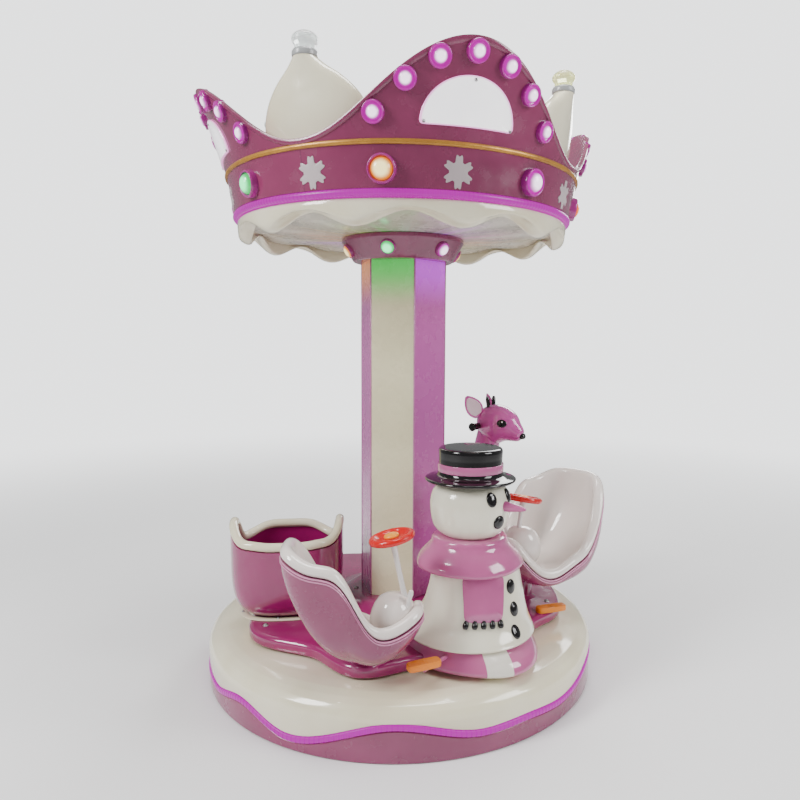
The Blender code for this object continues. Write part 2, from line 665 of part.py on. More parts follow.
def build_tub():
    """Round tub seat: magenta shell and a white rolled rim on its edge."""
    shape = {"length": TUB_HALF[0], "width": TUB_HALF[1], "narrowing": 0.0, "floor": STAR_TOP + GAP,
             "count": TUB_FACETS, "squareness": TUB_SQUARENESS, "keel": (0.0, 0.0), "rim": tub_rim,
             "fullness": lambda forward: TUB_FULLNESS}
    edge = lambda forward, left: tub_rim(forward, left) - TUB_BEAD - WAVY_GAP
    outer = bowl_rows(shape, 0.0, TUB_SHARES, edge)
    inner = bowl_rows(shape, TUB_WALL, TUB_SHARES, edge)
    floor = shape["floor"]
    shell = skin("tub_shell", [[(0, 0, floor)]] + outer + inner[::-1] + [[(0, 0, floor + TUB_WALL)]])
    place(add_object("tub_shell", shell, "magenta"), *TUB_PLACE, 0, TUB_TURN)
    roll = bead_rows(shape, TUB_BEAD, range(-90, 270, 60), TUB_BEAD * TUB_OUTSET)
    place(add_object("tub_rim", skin("tub_rim", roll, wrap=True), "snow_white"), *TUB_PLACE, 0, TUB_TURN)


def foot_radius(angle):
    """Outline of the snowman's foot: round, with a bulge on the outer side."""
    side = max(cos(angle - radians(FOOT_BULGE_AZIMUTH)), 0.0)
    return FOOT_RADIUS + FOOT_BULGE * side ** FOOT_BULGE_POWER


BODY_SECTIONS = [(0.2433, 0.000, 0.195), (0.250, 0.000, 0.198), (0.262, 0.003, 0.190), (0.286, 0.013, 0.169),
                 (0.325, 0.018, 0.153), (0.369, 0.020, 0.143), (0.420, 0.020, 0.133), (0.436, 0.020, 0.130)]
BODY_LEAN_AZIMUTH = 12.6
SCARF_PROFILE = [(0, 0.4363), (0.150, 0.4363), (0.161, 0.448), (0.150, 0.470), (0.124, 0.500), (0.113, 0.520),
                 (0.096, 0.531), (0, 0.531)]
HEAD_PROFILE = [(0, 0.5313), (0.085, 0.5313), (0.107, 0.556), (0.118, 0.592), (0.120, 0.630), (0.109, 0.668),
                (0.088, 0.690), (0, 0.690)]
HAT_PROFILE = [(0, 0.6903), (0.128, 0.6903), (0.1365, 0.698), (0.128, 0.704), (0.096, 0.710), (0.090, 0.718),
               (0.090, 0.786), (0.085, 0.792), (0, 0.792)]
BAND_PROFILE = [(0.0904, 0.722), (0.094, 0.722), (0.094, 0.745), (0.0904, 0.745)]
NOSE_START = (0.1120, 0.0, 0.628)
NOSE_LENGTH = 0.072
NOSE_RADII = (0.016, 0.005)


def build_snowman():
    """Snowman: foot with a footrest arm, bell-shaped body, scarf, head with nose, and a top hat."""
    low = PLATE_TOP + GAP
    foot_rows = [circle(lambda angle: foot_radius(angle) - 0.006, low, FIGURE_AROUND),
                 circle(foot_radius, low + 0.010, FIGURE_AROUND),
                 circle(lambda angle: foot_radius(angle) - 0.014, 0.220, FIGURE_AROUND),
                 circle(FOOT_NARROW, BODY_SECTIONS[0][0] - GAP, FIGURE_AROUND)]
    foot = place(add_object("snowman_foot", skin("snowman_foot", foot_rows), "pink"), *SNOWMAN_PLACE)
    join_with(foot, cutter("footrest_arm", block_mesh("footrest_arm", *FOOTREST_ARM, ARM_SIZE)))
    lean = Vector((cos(radians(BODY_LEAN_AZIMUTH)), sin(radians(BODY_LEAN_AZIMUTH))))
    body_rows = []
    for level, offset, radius in BODY_SECTIONS:
        body_rows.append([(x + offset * lean.x, y + offset * lean.y, z)
                          for x, y, z in circle(radius, level, FIGURE_AROUND)])
    place(add_object("snowman_body", skin("snowman_body", body_rows), "snow_white"), *SNOWMAN_PLACE)
    frame = (*SNOWMAN_PLACE, 0, SNOWMAN_FACING)
    scarf = turned("snowman_scarf", SCARF_PROFILE, FIGURE_AROUND)
    place(add_object("snowman_scarf", scarf, "pink"), *frame)
    hat = turned("snowman_hat", HAT_PROFILE, FIGURE_AROUND)
    place(add_object("snowman_hat", hat, "black"), *frame)
    place(add_object("hat_band", ring("hat_band", BAND_PROFILE, FIGURE_AROUND), "pink"), *frame)
    head_mesh = turned("snowman_head", HEAD_PROFILE, FIGURE_AROUND)
    head = place(add_object("snowman_head", head_mesh, "snow_white"), *frame)
    root, tip = NOSE_RADII
    end = (NOSE_START[0] + NOSE_LENGTH, NOSE_START[1], NOSE_START[2])
    nose_mesh = bar_mesh("snowman_nose", NOSE_START, end, root, 12, tip)
    place(add_object("snowman_nose", nose_mesh, "pink"), *frame)
    start = (NOSE_START[0] - GAP, NOSE_START[1], NOSE_START[2])
    recess = bar_mesh("nose_recess", start, end, root + GAP, 12)
    cut_with(head, place(cutter("nose_recess", recess), *frame))


DEER_LEGS = {"leg_front_left": ((0.09, 0.035, 0.39), (0.225, 0.040, 0.300)),
             "leg_front_right": ((0.09, -0.035, 0.39), (0.185, -0.040, 0.290)),
             "leg_back_left": ((-0.10, 0.035, 0.39), (-0.165, 0.038, 0.285)),
             "leg_back_right": ((-0.10, -0.035, 0.39), (-0.150, -0.038, 0.285))}
DEER_LEG_RADIUS = 0.018
DEER_HEAD = ((0.198, 0.0, 0.768), (0.078, 0.060, 0.074))
DEER_MUZZLE = ((0.235, 0.0, 0.748), (0.312, 0.0, 0.727), 0.045, 0.020)
DEER_EAR = ((0.140, 0.046, 0.826), (0.013, 0.024, 0.044))
DEER_ANTLER = ((0.176, 0.018, 0.825), (0.172, 0.026, 0.884), 0.007)
DEER_HANDLE = (0.150, 0.105, 0.768)
DEER_HANDLE_RADIUS = 0.009


def build_deer():
    """Reindeer on a post: body with legs, neck and head with ears and antlers, and a handle bar."""
    frame = (*DEER_PLACE, 0, DEER_FACING)
    level, sizes = DEER_BODY
    body = place(add_object("deer_body", ball_mesh("deer_body", (0, 0, level), sizes), "magenta"), *frame)
    for name, ends in DEER_LEGS.items():
        join_with(body, place(cutter(name, bar_mesh(name, *ends, DEER_LEG_RADIUS)), *frame))
    neck_start, neck_end, neck_radius = DEER_NECK
    aim = (Vector(neck_end) - Vector(neck_start)).normalized()
    socket = bar_mesh("neck_socket", Vector(neck_start) - aim * GAP, neck_end, neck_radius + GAP, 16)
    cut_with(body, place(cutter("neck_socket", socket), *frame))
    head = place(add_object("deer_head", ball_mesh("deer_head", *DEER_HEAD), "pink"), *frame)
    muzzle_start, muzzle_end, muzzle_root, muzzle_tip = DEER_MUZZLE
    pieces = [bar_mesh("deer_neck", neck_start, neck_end, neck_radius, 16),
              bar_mesh("deer_muzzle", muzzle_start, muzzle_end, muzzle_root, 12, muzzle_tip)]
    ear, ear_sizes = DEER_EAR
    antler_start, antler_end, antler_radius = DEER_ANTLER
    for side, name in ((1, "left"), (-1, "right")):
        mirror = Vector((1, side, 1))
        pieces.append(ball_mesh("deer_ear_" + name, Vector(ear) * mirror, ear_sizes, 12, 8))
        antler = (Vector(antler_start) * mirror, Vector(antler_end) * mirror)
        pieces.append(bar_mesh("deer_antler_" + name, *antler, antler_radius, 8))
    for mesh in pieces:
        join_with(head, place(cutter(mesh.name, mesh), *frame))
    x, y, z = DEER_HANDLE
    ends = ((x, -y, z), (x, y, z))
    handle_socket = bar_mesh("handle_socket", *ends, DEER_HANDLE_RADIUS + GAP, 12)
    cut_with(head, place(cutter("handle_socket", handle_socket), *frame))
    place(add_object("deer_handle", bar_mesh("deer_handle", *ends, DEER_HANDLE_RADIUS, 12), "black"), *frame)


FOOTRESTS = {"front": ((0.173, -0.575, 0.240), (0.248, -0.516, 0.240)),
             "right": ((0.478, -0.062, 0.2243), (0.566, -0.008, 0.2243))}
FOOTREST_SIZE = (0.034, 0.018)
FOOTREST_BEVEL = 0.005
FOOTREST_ARM = ((0.262, -0.440, 0.2247), (0.2105, -0.5455, 0.2247))
ARM_SIZE = (0.020, 0.012)


def block_mesh(name, start, end, size):
    """A level block between two points, of the given width and height."""
    bm = bmesh.new()
    bmesh.ops.create_cube(bm, size=1.0)
    start = Vector(start)
    end = Vector(end)
    bmesh.ops.scale(bm, vec=((end - start).length, *size), verts=bm.verts)
    heading = (end - start).xy.angle_signed(Vector((1, 0)))
    turn = Matrix.Translation((start + end) / 2) @ Matrix.Rotation(heading, 4, "Z")
    bmesh.ops.transform(bm, matrix=turn, verts=bm.verts)
    mesh = bpy.data.meshes.new(name)
    bm.to_mesh(mesh)
    bm.free()
    return mesh


def build_footrests():
    """Orange footrests: the front one lies on an arm of the snowman's foot, the right one on the star."""
    for side, ends in FOOTRESTS.items():
        name = "footrest_" + side
        pad = add_object(name, block_mesh(name, *ends, FOOTREST_SIZE), "orange")
        modified(pad, "BEVEL", "rounded", width=FOOTREST_BEVEL, segments=2)


clear_scene()
PARTS = make_collection("kiddie_carousel")
TOOLS = make_collection("cutters")
build_base()
build_star()
build_column()
build_crown()
build_seats()
build_tub()
build_snowman()
build_deer()
build_footrests()
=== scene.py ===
"""Kiddie carousel with a snow theme: its finished look, one piece after another.

Metres, +Z up, origin on the floor at the centre of the round base. Each section below is one piece, or one
group of like pieces, in the order in which the ride is put together.
"""

import bpy
import numpy as np
from mathutils import Matrix, Vector


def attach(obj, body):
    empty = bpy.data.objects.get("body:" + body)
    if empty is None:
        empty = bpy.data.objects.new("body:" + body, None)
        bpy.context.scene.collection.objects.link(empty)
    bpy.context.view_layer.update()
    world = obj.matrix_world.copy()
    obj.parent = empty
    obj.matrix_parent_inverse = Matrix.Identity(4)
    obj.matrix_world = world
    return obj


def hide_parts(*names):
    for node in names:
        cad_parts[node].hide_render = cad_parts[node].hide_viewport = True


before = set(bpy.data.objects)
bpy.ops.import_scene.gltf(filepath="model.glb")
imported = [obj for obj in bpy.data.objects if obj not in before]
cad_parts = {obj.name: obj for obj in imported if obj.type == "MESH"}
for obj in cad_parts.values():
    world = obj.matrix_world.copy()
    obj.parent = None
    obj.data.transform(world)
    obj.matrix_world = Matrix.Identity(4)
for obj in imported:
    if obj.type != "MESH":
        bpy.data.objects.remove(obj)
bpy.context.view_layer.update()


# Camera: stands in front and a little to the right of the column's front face, at adult chest height,
# looking slightly down, with a wide lens.
CAMERA_PLACE = (0.1044, -2.3306, 1.1143)
CAMERA_TURN = np.radians(12.63)
CAMERA_TILT = np.radians(5.2274)
CAMERA_ROLL = np.radians(0.4534)
camera_data = bpy.data.cameras.new("camera")
camera_data.sensor_width = 36.0
camera_data.lens = 30.549
camera_data.shift_x = -0.041
camera = bpy.data.objects.new("camera", camera_data)
bpy.context.scene.collection.objects.link(camera)
camera.matrix_world = (
    Matrix.Rotation(CAMERA_TURN, 4, "Z")
    @ Matrix.Translation(CAMERA_PLACE)
    @ Matrix.Rotation(np.pi / 2 - CAMERA_TILT, 4, "X")
    @ Matrix.Rotation(CAMERA_ROLL, 4, "Z")
)
bpy.context.scene.camera = camera


# Studio: a plain pale floor that fades into an even pale surround, and four large soft lamps that draw
# long highlights on the gelcoat. None of it belongs to the ride.
FLOOR_REACH = 16.0
FLOOR_SUNK = 0.0005
FADE_START = 1.2
FADE_END = 6.0
PAPER = (0.86, 0.86, 0.86, 1)
BLACK = (0, 0, 0, 1)
BACKDROP = (0.93, 0.94, 0.95, 1)
BACKDROP_SEEN = 2.6
BACKDROP_SHARE = 0.13
LAMPS_AIM = Vector((0, 0, 0.9))
STUDIO_LAMPS = {
    "key_lamp": {"at": (-2.6, -2.9, 3.3), "size": (1.1, 2.2), "power": 205.0},
    "fill_lamp": {"at": (3.9, -0.9, 2.7), "size": (1.6, 2.0), "power": 120.0},
    "top_lamp": {"at": (0.3, -0.4, 4.4), "size": (2.0, 1.4), "power": 115.0},
    "back_lamp": {"at": (0.8, 3.6, 3.0), "size": (2.2, 1.6), "power": 110.0},
}


def wired(node, values):
    """Gives a node's inputs what they need: a socket is linked, a number or a colour is set."""
    for label, value in values.items():
        if isinstance(value, bpy.types.NodeSocket):
            node.id_data.links.new(value, node.inputs[label])
        else:
            node.inputs[label].default_value = value


def blank_finish(name):
    """New material with its node tree and its Principled shader."""
    material = bpy.data.materials.new(name)
    material.use_nodes = True
    return material, material.node_tree, material.node_tree.nodes["Principled BSDF"]


def own_place(tree):
    """The piece's own coordinates."""
    return tree.nodes.new("ShaderNodeTexCoord").outputs["Object"]


def length_of(tree, vector):
    """Length of a vector."""
    node = tree.nodes.new("ShaderNodeVectorMath")
    node.operation = "LENGTH"
    wired(node, {0: vector})
    return node.outputs["Value"]


def ranged(tree, value, low, high, to_low, to_high):
    """Maps one range of a value onto another with soft ends, held at both of them."""
    node = tree.nodes.new("ShaderNodeMapRange")
    node.interpolation_type = "SMOOTHSTEP"
    wired(node, {"Value": value, "From Min": low, "From Max": high, "To Min": to_low, "To Max": to_high})
    return node.outputs["Result"]


def mixed(tree, factor, first, second):
    """Mixes two colours, each a socket or a colour, by a factor that is a socket or a number."""
    node = tree.nodes.new("ShaderNodeMix")
    node.data_type = "RGBA"
    wired(node, {0: factor, 6: first, 7: second})
    return node.outputs[2]


def backdrop_strength(tree):
    """Full strength for the backdrop that the camera sees, a small share of it for what lights the ride."""
    path = tree.nodes.new("ShaderNodeLightPath")
    strength = tree.nodes.new("ShaderNodeMapRange")
    wired(strength, {"Value": path.outputs["Is Camera Ray"], "To Min": BACKDROP_SEEN * BACKDROP_SHARE,
                     "To Max": BACKDROP_SEEN})
    return strength.outputs["Result"]


floor_mesh = bpy.data.meshes.new("studio_floor")
floor_corners = np.array([(-1, -1), (1, -1), (1, 1), (-1, 1)]) * FLOOR_REACH
floor_mesh.from_pydata([(x, y, -FLOOR_SUNK) for x, y in floor_corners], [], [(0, 1, 2, 3)])
floor = bpy.data.objects.new("studio_floor", floor_mesh)
bpy.context.scene.collection.objects.link(floor)
floor_paper, paper, paper_shader = blank_finish("studio_paper")
faded = ranged(paper, length_of(paper, own_place(paper)), FADE_START, FADE_END, 0.0, 1.0)
wired(paper_shader, {
    "Base Color": mixed(paper, faded, PAPER, BLACK), "Emission Color": mixed(paper, faded, BLACK, BACKDROP),
    "Emission Strength": backdrop_strength(paper), "Roughness": 0.85, "Specular IOR Level": 0.1})
floor_mesh.materials.append(floor_paper)

surround = bpy.data.worlds.new("studio_surround")
surround.use_nodes = True
wired(surround.node_tree.nodes["Background"],
      {"Color": BACKDROP, "Strength": backdrop_strength(surround.node_tree)})
bpy.context.scene.world = surround

for lamp_name, facts in STUDIO_LAMPS.items():
    light = bpy.data.lights.new(lamp_name, "AREA")
    light.shape = "RECTANGLE"
    light.size, light.size_y = facts["size"]
    light.energy = facts["power"]
    lamp = bpy.data.objects.new(lamp_name, light)
    bpy.context.scene.collection.objects.link(lamp)
    lamp.location = facts["at"]
    lamp.rotation_euler = (lamp.location - LAMPS_AIM).to_track_quat("Z", "Y").to_euler()


# Base skirt: the dusty pink glass fibre hoop that hides the machinery, laid up in a mould with a soft
# foot edge, its top cut to the same slow wave as the light strip.
BASE_RADIUS = 0.650
SKIRT_INNER = 0.620
SKIRT_OUTER = 0.648
SKIRT_ROUND = 0.005
STRIP_HALF = 0.010
STRIP_WAVE = np.array([
    (-135.0, 0.050), (-119.9, 0.080), (-102.9, 0.034), (-76.0, 0.102), (-54.0, 0.0615), (-42.0, 0.066),
    (-29.0, 0.058), (0.0, 0.095), (28.0, 0.045), (60.0, 0.085), (90.0, 0.050), (117.0, 0.090),
    (148.0, 0.042), (180.0, 0.088), (202.0, 0.048), (225.0, 0.050)])
ROSE = (0.275, 0.042, 0.125, 1)
ROSE_DEEP = (0.20, 0.027, 0.085, 1)
SCUFF_PALE = (0.72, 0.66, 0.64, 1)
DUST_GREY = (0.62, 0.58, 0.53, 1)
PEEL_DEPTH = 0.004
FACET_ANGLE = np.radians(40)


def stepped(table, degrees):
    """Size by the angle round the axis, from a table of (angle, size) rows over one full turn: between
    two rows it follows 3t^2 - 2t^3."""
    places, sizes = table.T
    angle = (degrees - places[0]) % 360.0 + places[0]
    k = np.clip(np.searchsorted(places, angle, side="right") - 1, 0, len(places) - 2)
    t = (angle - places[k]) / (places[k + 1] - places[k])
    return sizes[k] + (sizes[k + 1] - sizes[k]) * t * t * (3 - 2 * t)


def turns(count, start=0.0):
    """Angles of a full turn in equal steps, counted from a start angle in degrees."""
    return np.radians(start) + 2 * np.pi * np.arange(count) / count


def stacked(x, y, z):
    """Points from three coordinates, each a number or an array, spread to one common shape."""
    return np.stack(np.broadcast_arrays(x, y, z), axis=-1)


def polar(radius, angles, level):
    """Points about the vertical axis: x = r cos a, y = r sin a, z = level."""
    return stacked(radius * np.cos(angles), radius * np.sin(angles), level)


def hoops(profile, angles):
    """Grid of points: each profile row (radius, height) is carried round the vertical axis by the
    angles. Radius and height are numbers or arrays over the angles."""
    return np.array([polar(radius, angles, height) for radius, height in profile])


def filleted(rows, radius, steps=4, closed=True):
    """Rounds the corners of a grid along its rows: each corner becomes a quadratic curve that starts and
    ends one radius away on the two edges, or less than half an edge away where an edge is short."""
    before = np.roll(rows, 1, axis=0) - rows
    after = np.roll(rows, -1, axis=0) - rows
    reach_before = np.linalg.norm(before, axis=-1, keepdims=True) + 1e-9
    reach_after = np.linalg.norm(after, axis=-1, keepdims=True) + 1e-9
    start = rows + before * np.minimum(radius / reach_before, 0.45)
    end = rows + after * np.minimum(radius / reach_after, 0.45)
    t = np.linspace(0, 1, steps).reshape(1, -1, 1, 1)
    curve = (1 - t) ** 2 * start[:, None] + 2 * t * (1 - t) * rows[:, None] + t ** 2 * end[:, None]
    curve = curve.reshape(-1, *rows.shape[1:])
    if not closed:
        curve = np.concatenate([rows[:1], curve[steps:-steps], rows[-1:]])
    return curve


def lofted(name, grids, wrap=False):
    """Closed mesh over point grids (copies, rows, columns, 3). Columns close on themselves. With wrap the
    rows close too; otherwise each end row is closed by a fan to its middle point. Rows run so that
    columns turn anticlockwise and the surface is on the outside."""
    grids = np.asarray(grids, float)
    if grids.ndim == 3:
        grids = grids[None]
    copies, rows, columns = grids.shape[:3]
    i = np.arange(rows if wrap else rows - 1)[:, None]
    j = np.arange(columns)[None, :]
    k = (j + 1) % columns
    n = (i + 1) % rows
    quads = stacked(i * columns + j, i * columns + k, n * columns + k)
    quads = np.concatenate([quads, (n * columns + j)[..., None]], axis=-1).reshape(-1, 4)
    starts = (rows * columns * np.arange(copies)).reshape(-1, 1, 1)
    faces = (quads[None] + starts).reshape(-1, 4).tolist()
    points = grids.reshape(-1, 3)
    if not wrap:
        middles = np.concatenate([grids[:, 0].mean(axis=1), grids[:, -1].mean(axis=1)])
        first = len(points) + np.arange(copies).reshape(-1, 1)
        begin = starts[..., 0]
        end = begin + (rows - 1) * columns
        faces += stacked(first, k + begin, j + begin).reshape(-1, 3).tolist()
        faces += stacked(first + copies, j + end, k + end).reshape(-1, 3).tolist()
        points = np.concatenate([points, middles])
    mesh = bpy.data.meshes.new(name)
    mesh.from_pydata(points.tolist(), [], faces)
    mesh.update()
    mesh.shade_smooth()
    mesh.set_sharp_from_angle(angle=FACET_ANGLE)
    return mesh


def fitted(mesh, material, slot, *stands_for, body="turntable"):
    """Makes a mesh a piece that rides on a body and may stand for nodes of the model."""
    piece = bpy.data.objects.new(mesh.name, mesh)
    bpy.context.scene.collection.objects.link(piece)
    mesh.materials.append(material)
    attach(piece, body)
    if stands_for:
        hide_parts(*stands_for)


def noise(tree, where, scale, detail, roughness=0.5):
    """Value of a noise texture on the given coordinates."""
    node = tree.nodes.new("ShaderNodeTexNoise")
    wired(node, {"Vector": where, "Scale": scale, "Detail": detail, "Roughness": roughness})
    return node.outputs["Fac"]


def calculated(tree, operation, first, second=0.0):
    """One Math node on sockets or numbers."""
    node = tree.nodes.new("ShaderNodeMath")
    node.operation = operation
    wired(node, {0: first, 1: second})
    return node.outputs[0]


def product(tree, first, second):
    """First times second."""
    return calculated(tree, "MULTIPLY", first, second)


def part_of(tree, vector, axis):
    """One coordinate of a vector."""
    node = tree.nodes.new("ShaderNodeSeparateXYZ")
    wired(node, {"Vector": vector})
    return node.outputs[axis]


def raised(tree, height, strength, distance):
    """Normal of a surface raised by a height."""
    node = tree.nodes.new("ShaderNodeBump")
    wired(node, {"Height": height, "Strength": strength, "Distance": distance})
    return node.outputs["Normal"]


def group_of(name, inputs, outputs):
    """Empty shader node group with its named sockets, and its two end nodes."""
    tree = bpy.data.node_groups.new(name, "ShaderNodeTree")
    for label, kind, value in inputs:
        socket = tree.interface.new_socket(name=label, in_out="INPUT", socket_type=kind)
        socket.default_value = value
    for label, kind in outputs:
        tree.interface.new_socket(name=label, in_out="OUTPUT", socket_type=kind)
    return tree, tree.nodes.new("NodeGroupInput").outputs, tree.nodes.new("NodeGroupOutput")


def gelcoat_surface():
    """Group: slow clouds and fine flecks of a second shade, uneven gloss, and orange peel on a slow swell."""
    tree, given, result = group_of(
        "gelcoat_surface",
        [("Colour", "NodeSocketColor", (1, 1, 1, 1)), ("Shade", "NodeSocketColor", (0.8, 0.8, 0.8, 1)),
         ("Low Roughness", "NodeSocketFloat", 0.14), ("High Roughness", "NodeSocketFloat", 0.34)],
        [("Colour", "NodeSocketColor"), ("Roughness", "NodeSocketFloat"), ("Height", "NodeSocketFloat")])
    place = own_place(tree)
    cloud = ranged(tree, noise(tree, place, 4.2, 4.0), 0.36, 0.68, 0.0, 0.75)
    fleck = ranged(tree, noise(tree, place, 340.0, 2.0), 0.62, 0.80, 0.0, 0.20)
    colour = mixed(tree, cloud, given["Colour"], given["Shade"])
    colour = mixed(tree, fleck, colour, given["Shade"])
    uneven = ranged(tree, noise(tree, place, 17.0, 5.0, 0.62), 0.35, 0.72, 0.0, 1.0)
    span = calculated(tree, "SUBTRACT", given["High Roughness"], given["Low Roughness"])
    rough = calculated(tree, "ADD", product(tree, uneven, span), given["Low Roughness"])
    peel = product(tree, noise(tree, place, 130.0, 2.0), 0.10)
    height = calculated(tree, "ADD", peel, noise(tree, place, 9.0, 2.0))
    wired(result, {"Colour": colour, "Roughness": rough, "Height": height})
    return tree


def scuffs_and_dust():
    """Group: patches of long level scratches, strongest near the floor, and dust on what faces up."""
    tree, given, result = group_of(
        "scuffs_and_dust",
        [("Scuff Level", "NodeSocketFloat", 0.25), ("Dust", "NodeSocketFloat", 0.3)],
        [("Scuff", "NodeSocketFloat"), ("Dust", "NodeSocketFloat")])
    place = own_place(tree)
    stretch = tree.nodes.new("ShaderNodeMapping")
    wired(stretch, {"Vector": place, "Scale": (6.0, 6.0, 60.0)})
    scratch = ranged(tree, noise(tree, stretch.outputs["Vector"], 4.0, 6.0, 0.7), 0.60, 0.74, 0.0, 1.0)
    patch = noise(tree, place, 7.0, 3.0)
    lowness = ranged(tree, part_of(tree, place, "Z"), 0.02, 0.32, 1.0, 0.25)
    scuff = product(tree, scratch, ranged(tree, patch, 0.46, 0.66, 0.0, 1.0))
    scuff = product(tree, scuff, lowness)
    upward = part_of(tree, tree.nodes.new("ShaderNodeNewGeometry").outputs["Normal"], "Z")
    settled = product(tree, ranged(tree, upward, 0.55, 1.0, 0.0, 1.0),
                      ranged(tree, patch, 0.38, 0.70, 0.15, 1.0))
    wired(result, {"Scuff": product(tree, scuff, given["Scuff Level"]),
                   "Dust": product(tree, settled, given["Dust"])})
    return tree


gelcoat_group = gelcoat_surface()
scuff_group = scuffs_and_dust()


def gelcoat(name, colour, shade, low=0.14, high=0.34, coat=0.5, bump=0.05, scuff_level=0.3, dust=0.14,
            pattern=None):
    """Glossy moulded glass fibre: slow colour drift, fine flecks, orange peel, scuffs near the floor and a
    film of dust on what faces up. A pattern may add a second colour with a mask."""
    material, tree, shader = blank_finish(name)
    surface = tree.nodes.new("ShaderNodeGroup")
    surface.node_tree = gelcoat_group
    wired(surface, {"Colour": colour, "Shade": shade, "Low Roughness": low, "High Roughness": high})
    marks = tree.nodes.new("ShaderNodeGroup")
    marks.node_tree = scuff_group
    wired(marks, {"Scuff Level": scuff_level, "Dust": dust})
    base = surface.outputs["Colour"]
    if pattern:
        base = pattern(tree, base)
    base = mixed(tree, marks.outputs["Scuff"], base, SCUFF_PALE)
    base = mixed(tree, marks.outputs["Dust"], base, DUST_GREY)
    dulled = calculated(tree, "ADD", surface.outputs["Roughness"], product(tree, marks.outputs["Dust"], 0.8))
    wired(shader, {"Base Color": base, "Roughness": dulled,
                   "Normal": raised(tree, surface.outputs["Height"], bump, PEEL_DEPTH),
                   "Coat Weight": coat, "Coat Roughness": 0.06})
    return material


rose_gelcoat = gelcoat("rose_gelcoat", ROSE, ROSE_DEEP)
base_angles = turns(360)
base_wave = stepped(STRIP_WAVE, np.degrees(base_angles))
skirt_rows = hoops([(SKIRT_INNER, 0.0), (SKIRT_OUTER, 0.0), (SKIRT_OUTER, base_wave - STRIP_HALF),
                    (SKIRT_INNER, base_wave - STRIP_HALF)], base_angles)
fitted(lofted("base_skirt_hoop", filleted(skirt_rows, SKIRT_ROUND), wrap=True), rose_gelcoat, "rose",
       "base_skirt", body="base")


# Base light strip: a flexible silicone tube full of magenta light points, pressed into the groove
# between the skirt and the snow, and bent along the wave.
STRIP_INNER = 0.628
STRIP_PROUD = 0.0018
STRIP_GAP = 0.0008
STRIP_BELLY = 0.005
STRIP_ROUND = 0.004
STRIP_POINTS = 288
LIGHT_MAGENTA = (0.95, 0.0, 0.78, 1)
LIGHT_PINK = (1.0, 0.01, 0.86, 1)
LIGHT_STRENGTH = 0.50


def turn_share(tree, place):
    """Angle round the vertical axis as a share of a full turn, counted from the -X side."""
    radial = tree.nodes.new("ShaderNodeTexGradient")
    radial.gradient_type = "RADIAL"
    wired(radial, {"Vector": place})
    return radial.outputs["Fac"]


def light_tube(name, points_round):
    """Lit silicone tube: light points evenly spaced round the axis, brighter and paler than the tube
    between them."""
    material, tree, shader = blank_finish(name)
    place = own_place(tree)
    swing = calculated(tree, "PINGPONG", product(tree, turn_share(tree, place), points_round), 0.5)
    hot = ranged(tree, swing, 0.05, 0.45, 0.0, 1.0)
    drift = ranged(tree, noise(tree, place, 6.0, 2.0), 0.3, 0.7, 0.25, 1.0)
    glow = mixed(tree, product(tree, hot, drift), LIGHT_MAGENTA, LIGHT_PINK)
    wired(shader, {"Base Color": mixed(tree, 0.9, glow, (0.03, 0, 0.03, 1)), "Emission Color": glow,
                   "Emission Strength": LIGHT_STRENGTH, "Specular IOR Level": 0.25,
                   "Roughness": ranged(tree, swing, 0.0, 0.5, 0.38, 0.22)})
    return material


strip_low = base_wave - STRIP_HALF + STRIP_GAP
strip_high = base_wave + STRIP_HALF - STRIP_GAP
strip_rows = hoops([
    (STRIP_INNER, strip_low), (BASE_RADIUS - 0.001, strip_low),
    (BASE_RADIUS + STRIP_PROUD, base_wave - STRIP_BELLY),
    (BASE_RADIUS + STRIP_PROUD, base_wave + STRIP_BELLY),
    (BASE_RADIUS - 0.001, strip_high), (STRIP_INNER, strip_high)], base_angles)
fitted(lofted("base_light_tube", filleted(strip_rows, STRIP_ROUND), wrap=True),
       light_tube("magenta_light_tube", STRIP_POINTS), "strip_light", "base_light_strip", body="base")


# Snow base: the warm white glass fibre lid of the base, with a rounded shoulder that looks like snow
# lying on it. One moulding, bonded to the skirt, with a round hole for the bearing.
SNOW = (0.87, 0.82, 0.62, 1)
SNOW_SHADE = (0.77, 0.70, 0.48, 1)
SNOW_SHOULDER = [(0.650, 0.112), (0.6485, 0.126), (0.642, 0.139), (0.631, 0.150), (0.612, 0.160),
                 (0.585, 0.1665), (0.550, 0.1693), (0.500, 0.170), (0.300, 0.170)]
BEARING_HOLE = 0.0853
LID_LOW = 0.012
LID_WALL = 0.6197
LID_TOP = 0.170
snow_gelcoat = gelcoat("snow_gelcoat", SNOW, SNOW_SHADE, low=0.08, high=0.24, coat=0.7, bump=0.10, dust=0.08)
snow_low = base_wave + STRIP_HALF
snow_rows = hoops([(BEARING_HOLE, LID_LOW), (LID_WALL, LID_LOW), (LID_WALL, snow_low),
                   (SKIRT_OUTER, snow_low), *SNOW_SHOULDER, (BEARING_HOLE, LID_TOP)], base_angles)
fitted(lofted("snow_lid", filleted(snow_rows, 0.004), wrap=True), snow_gelcoat, "snow_white", "snow_base",
       body="base")


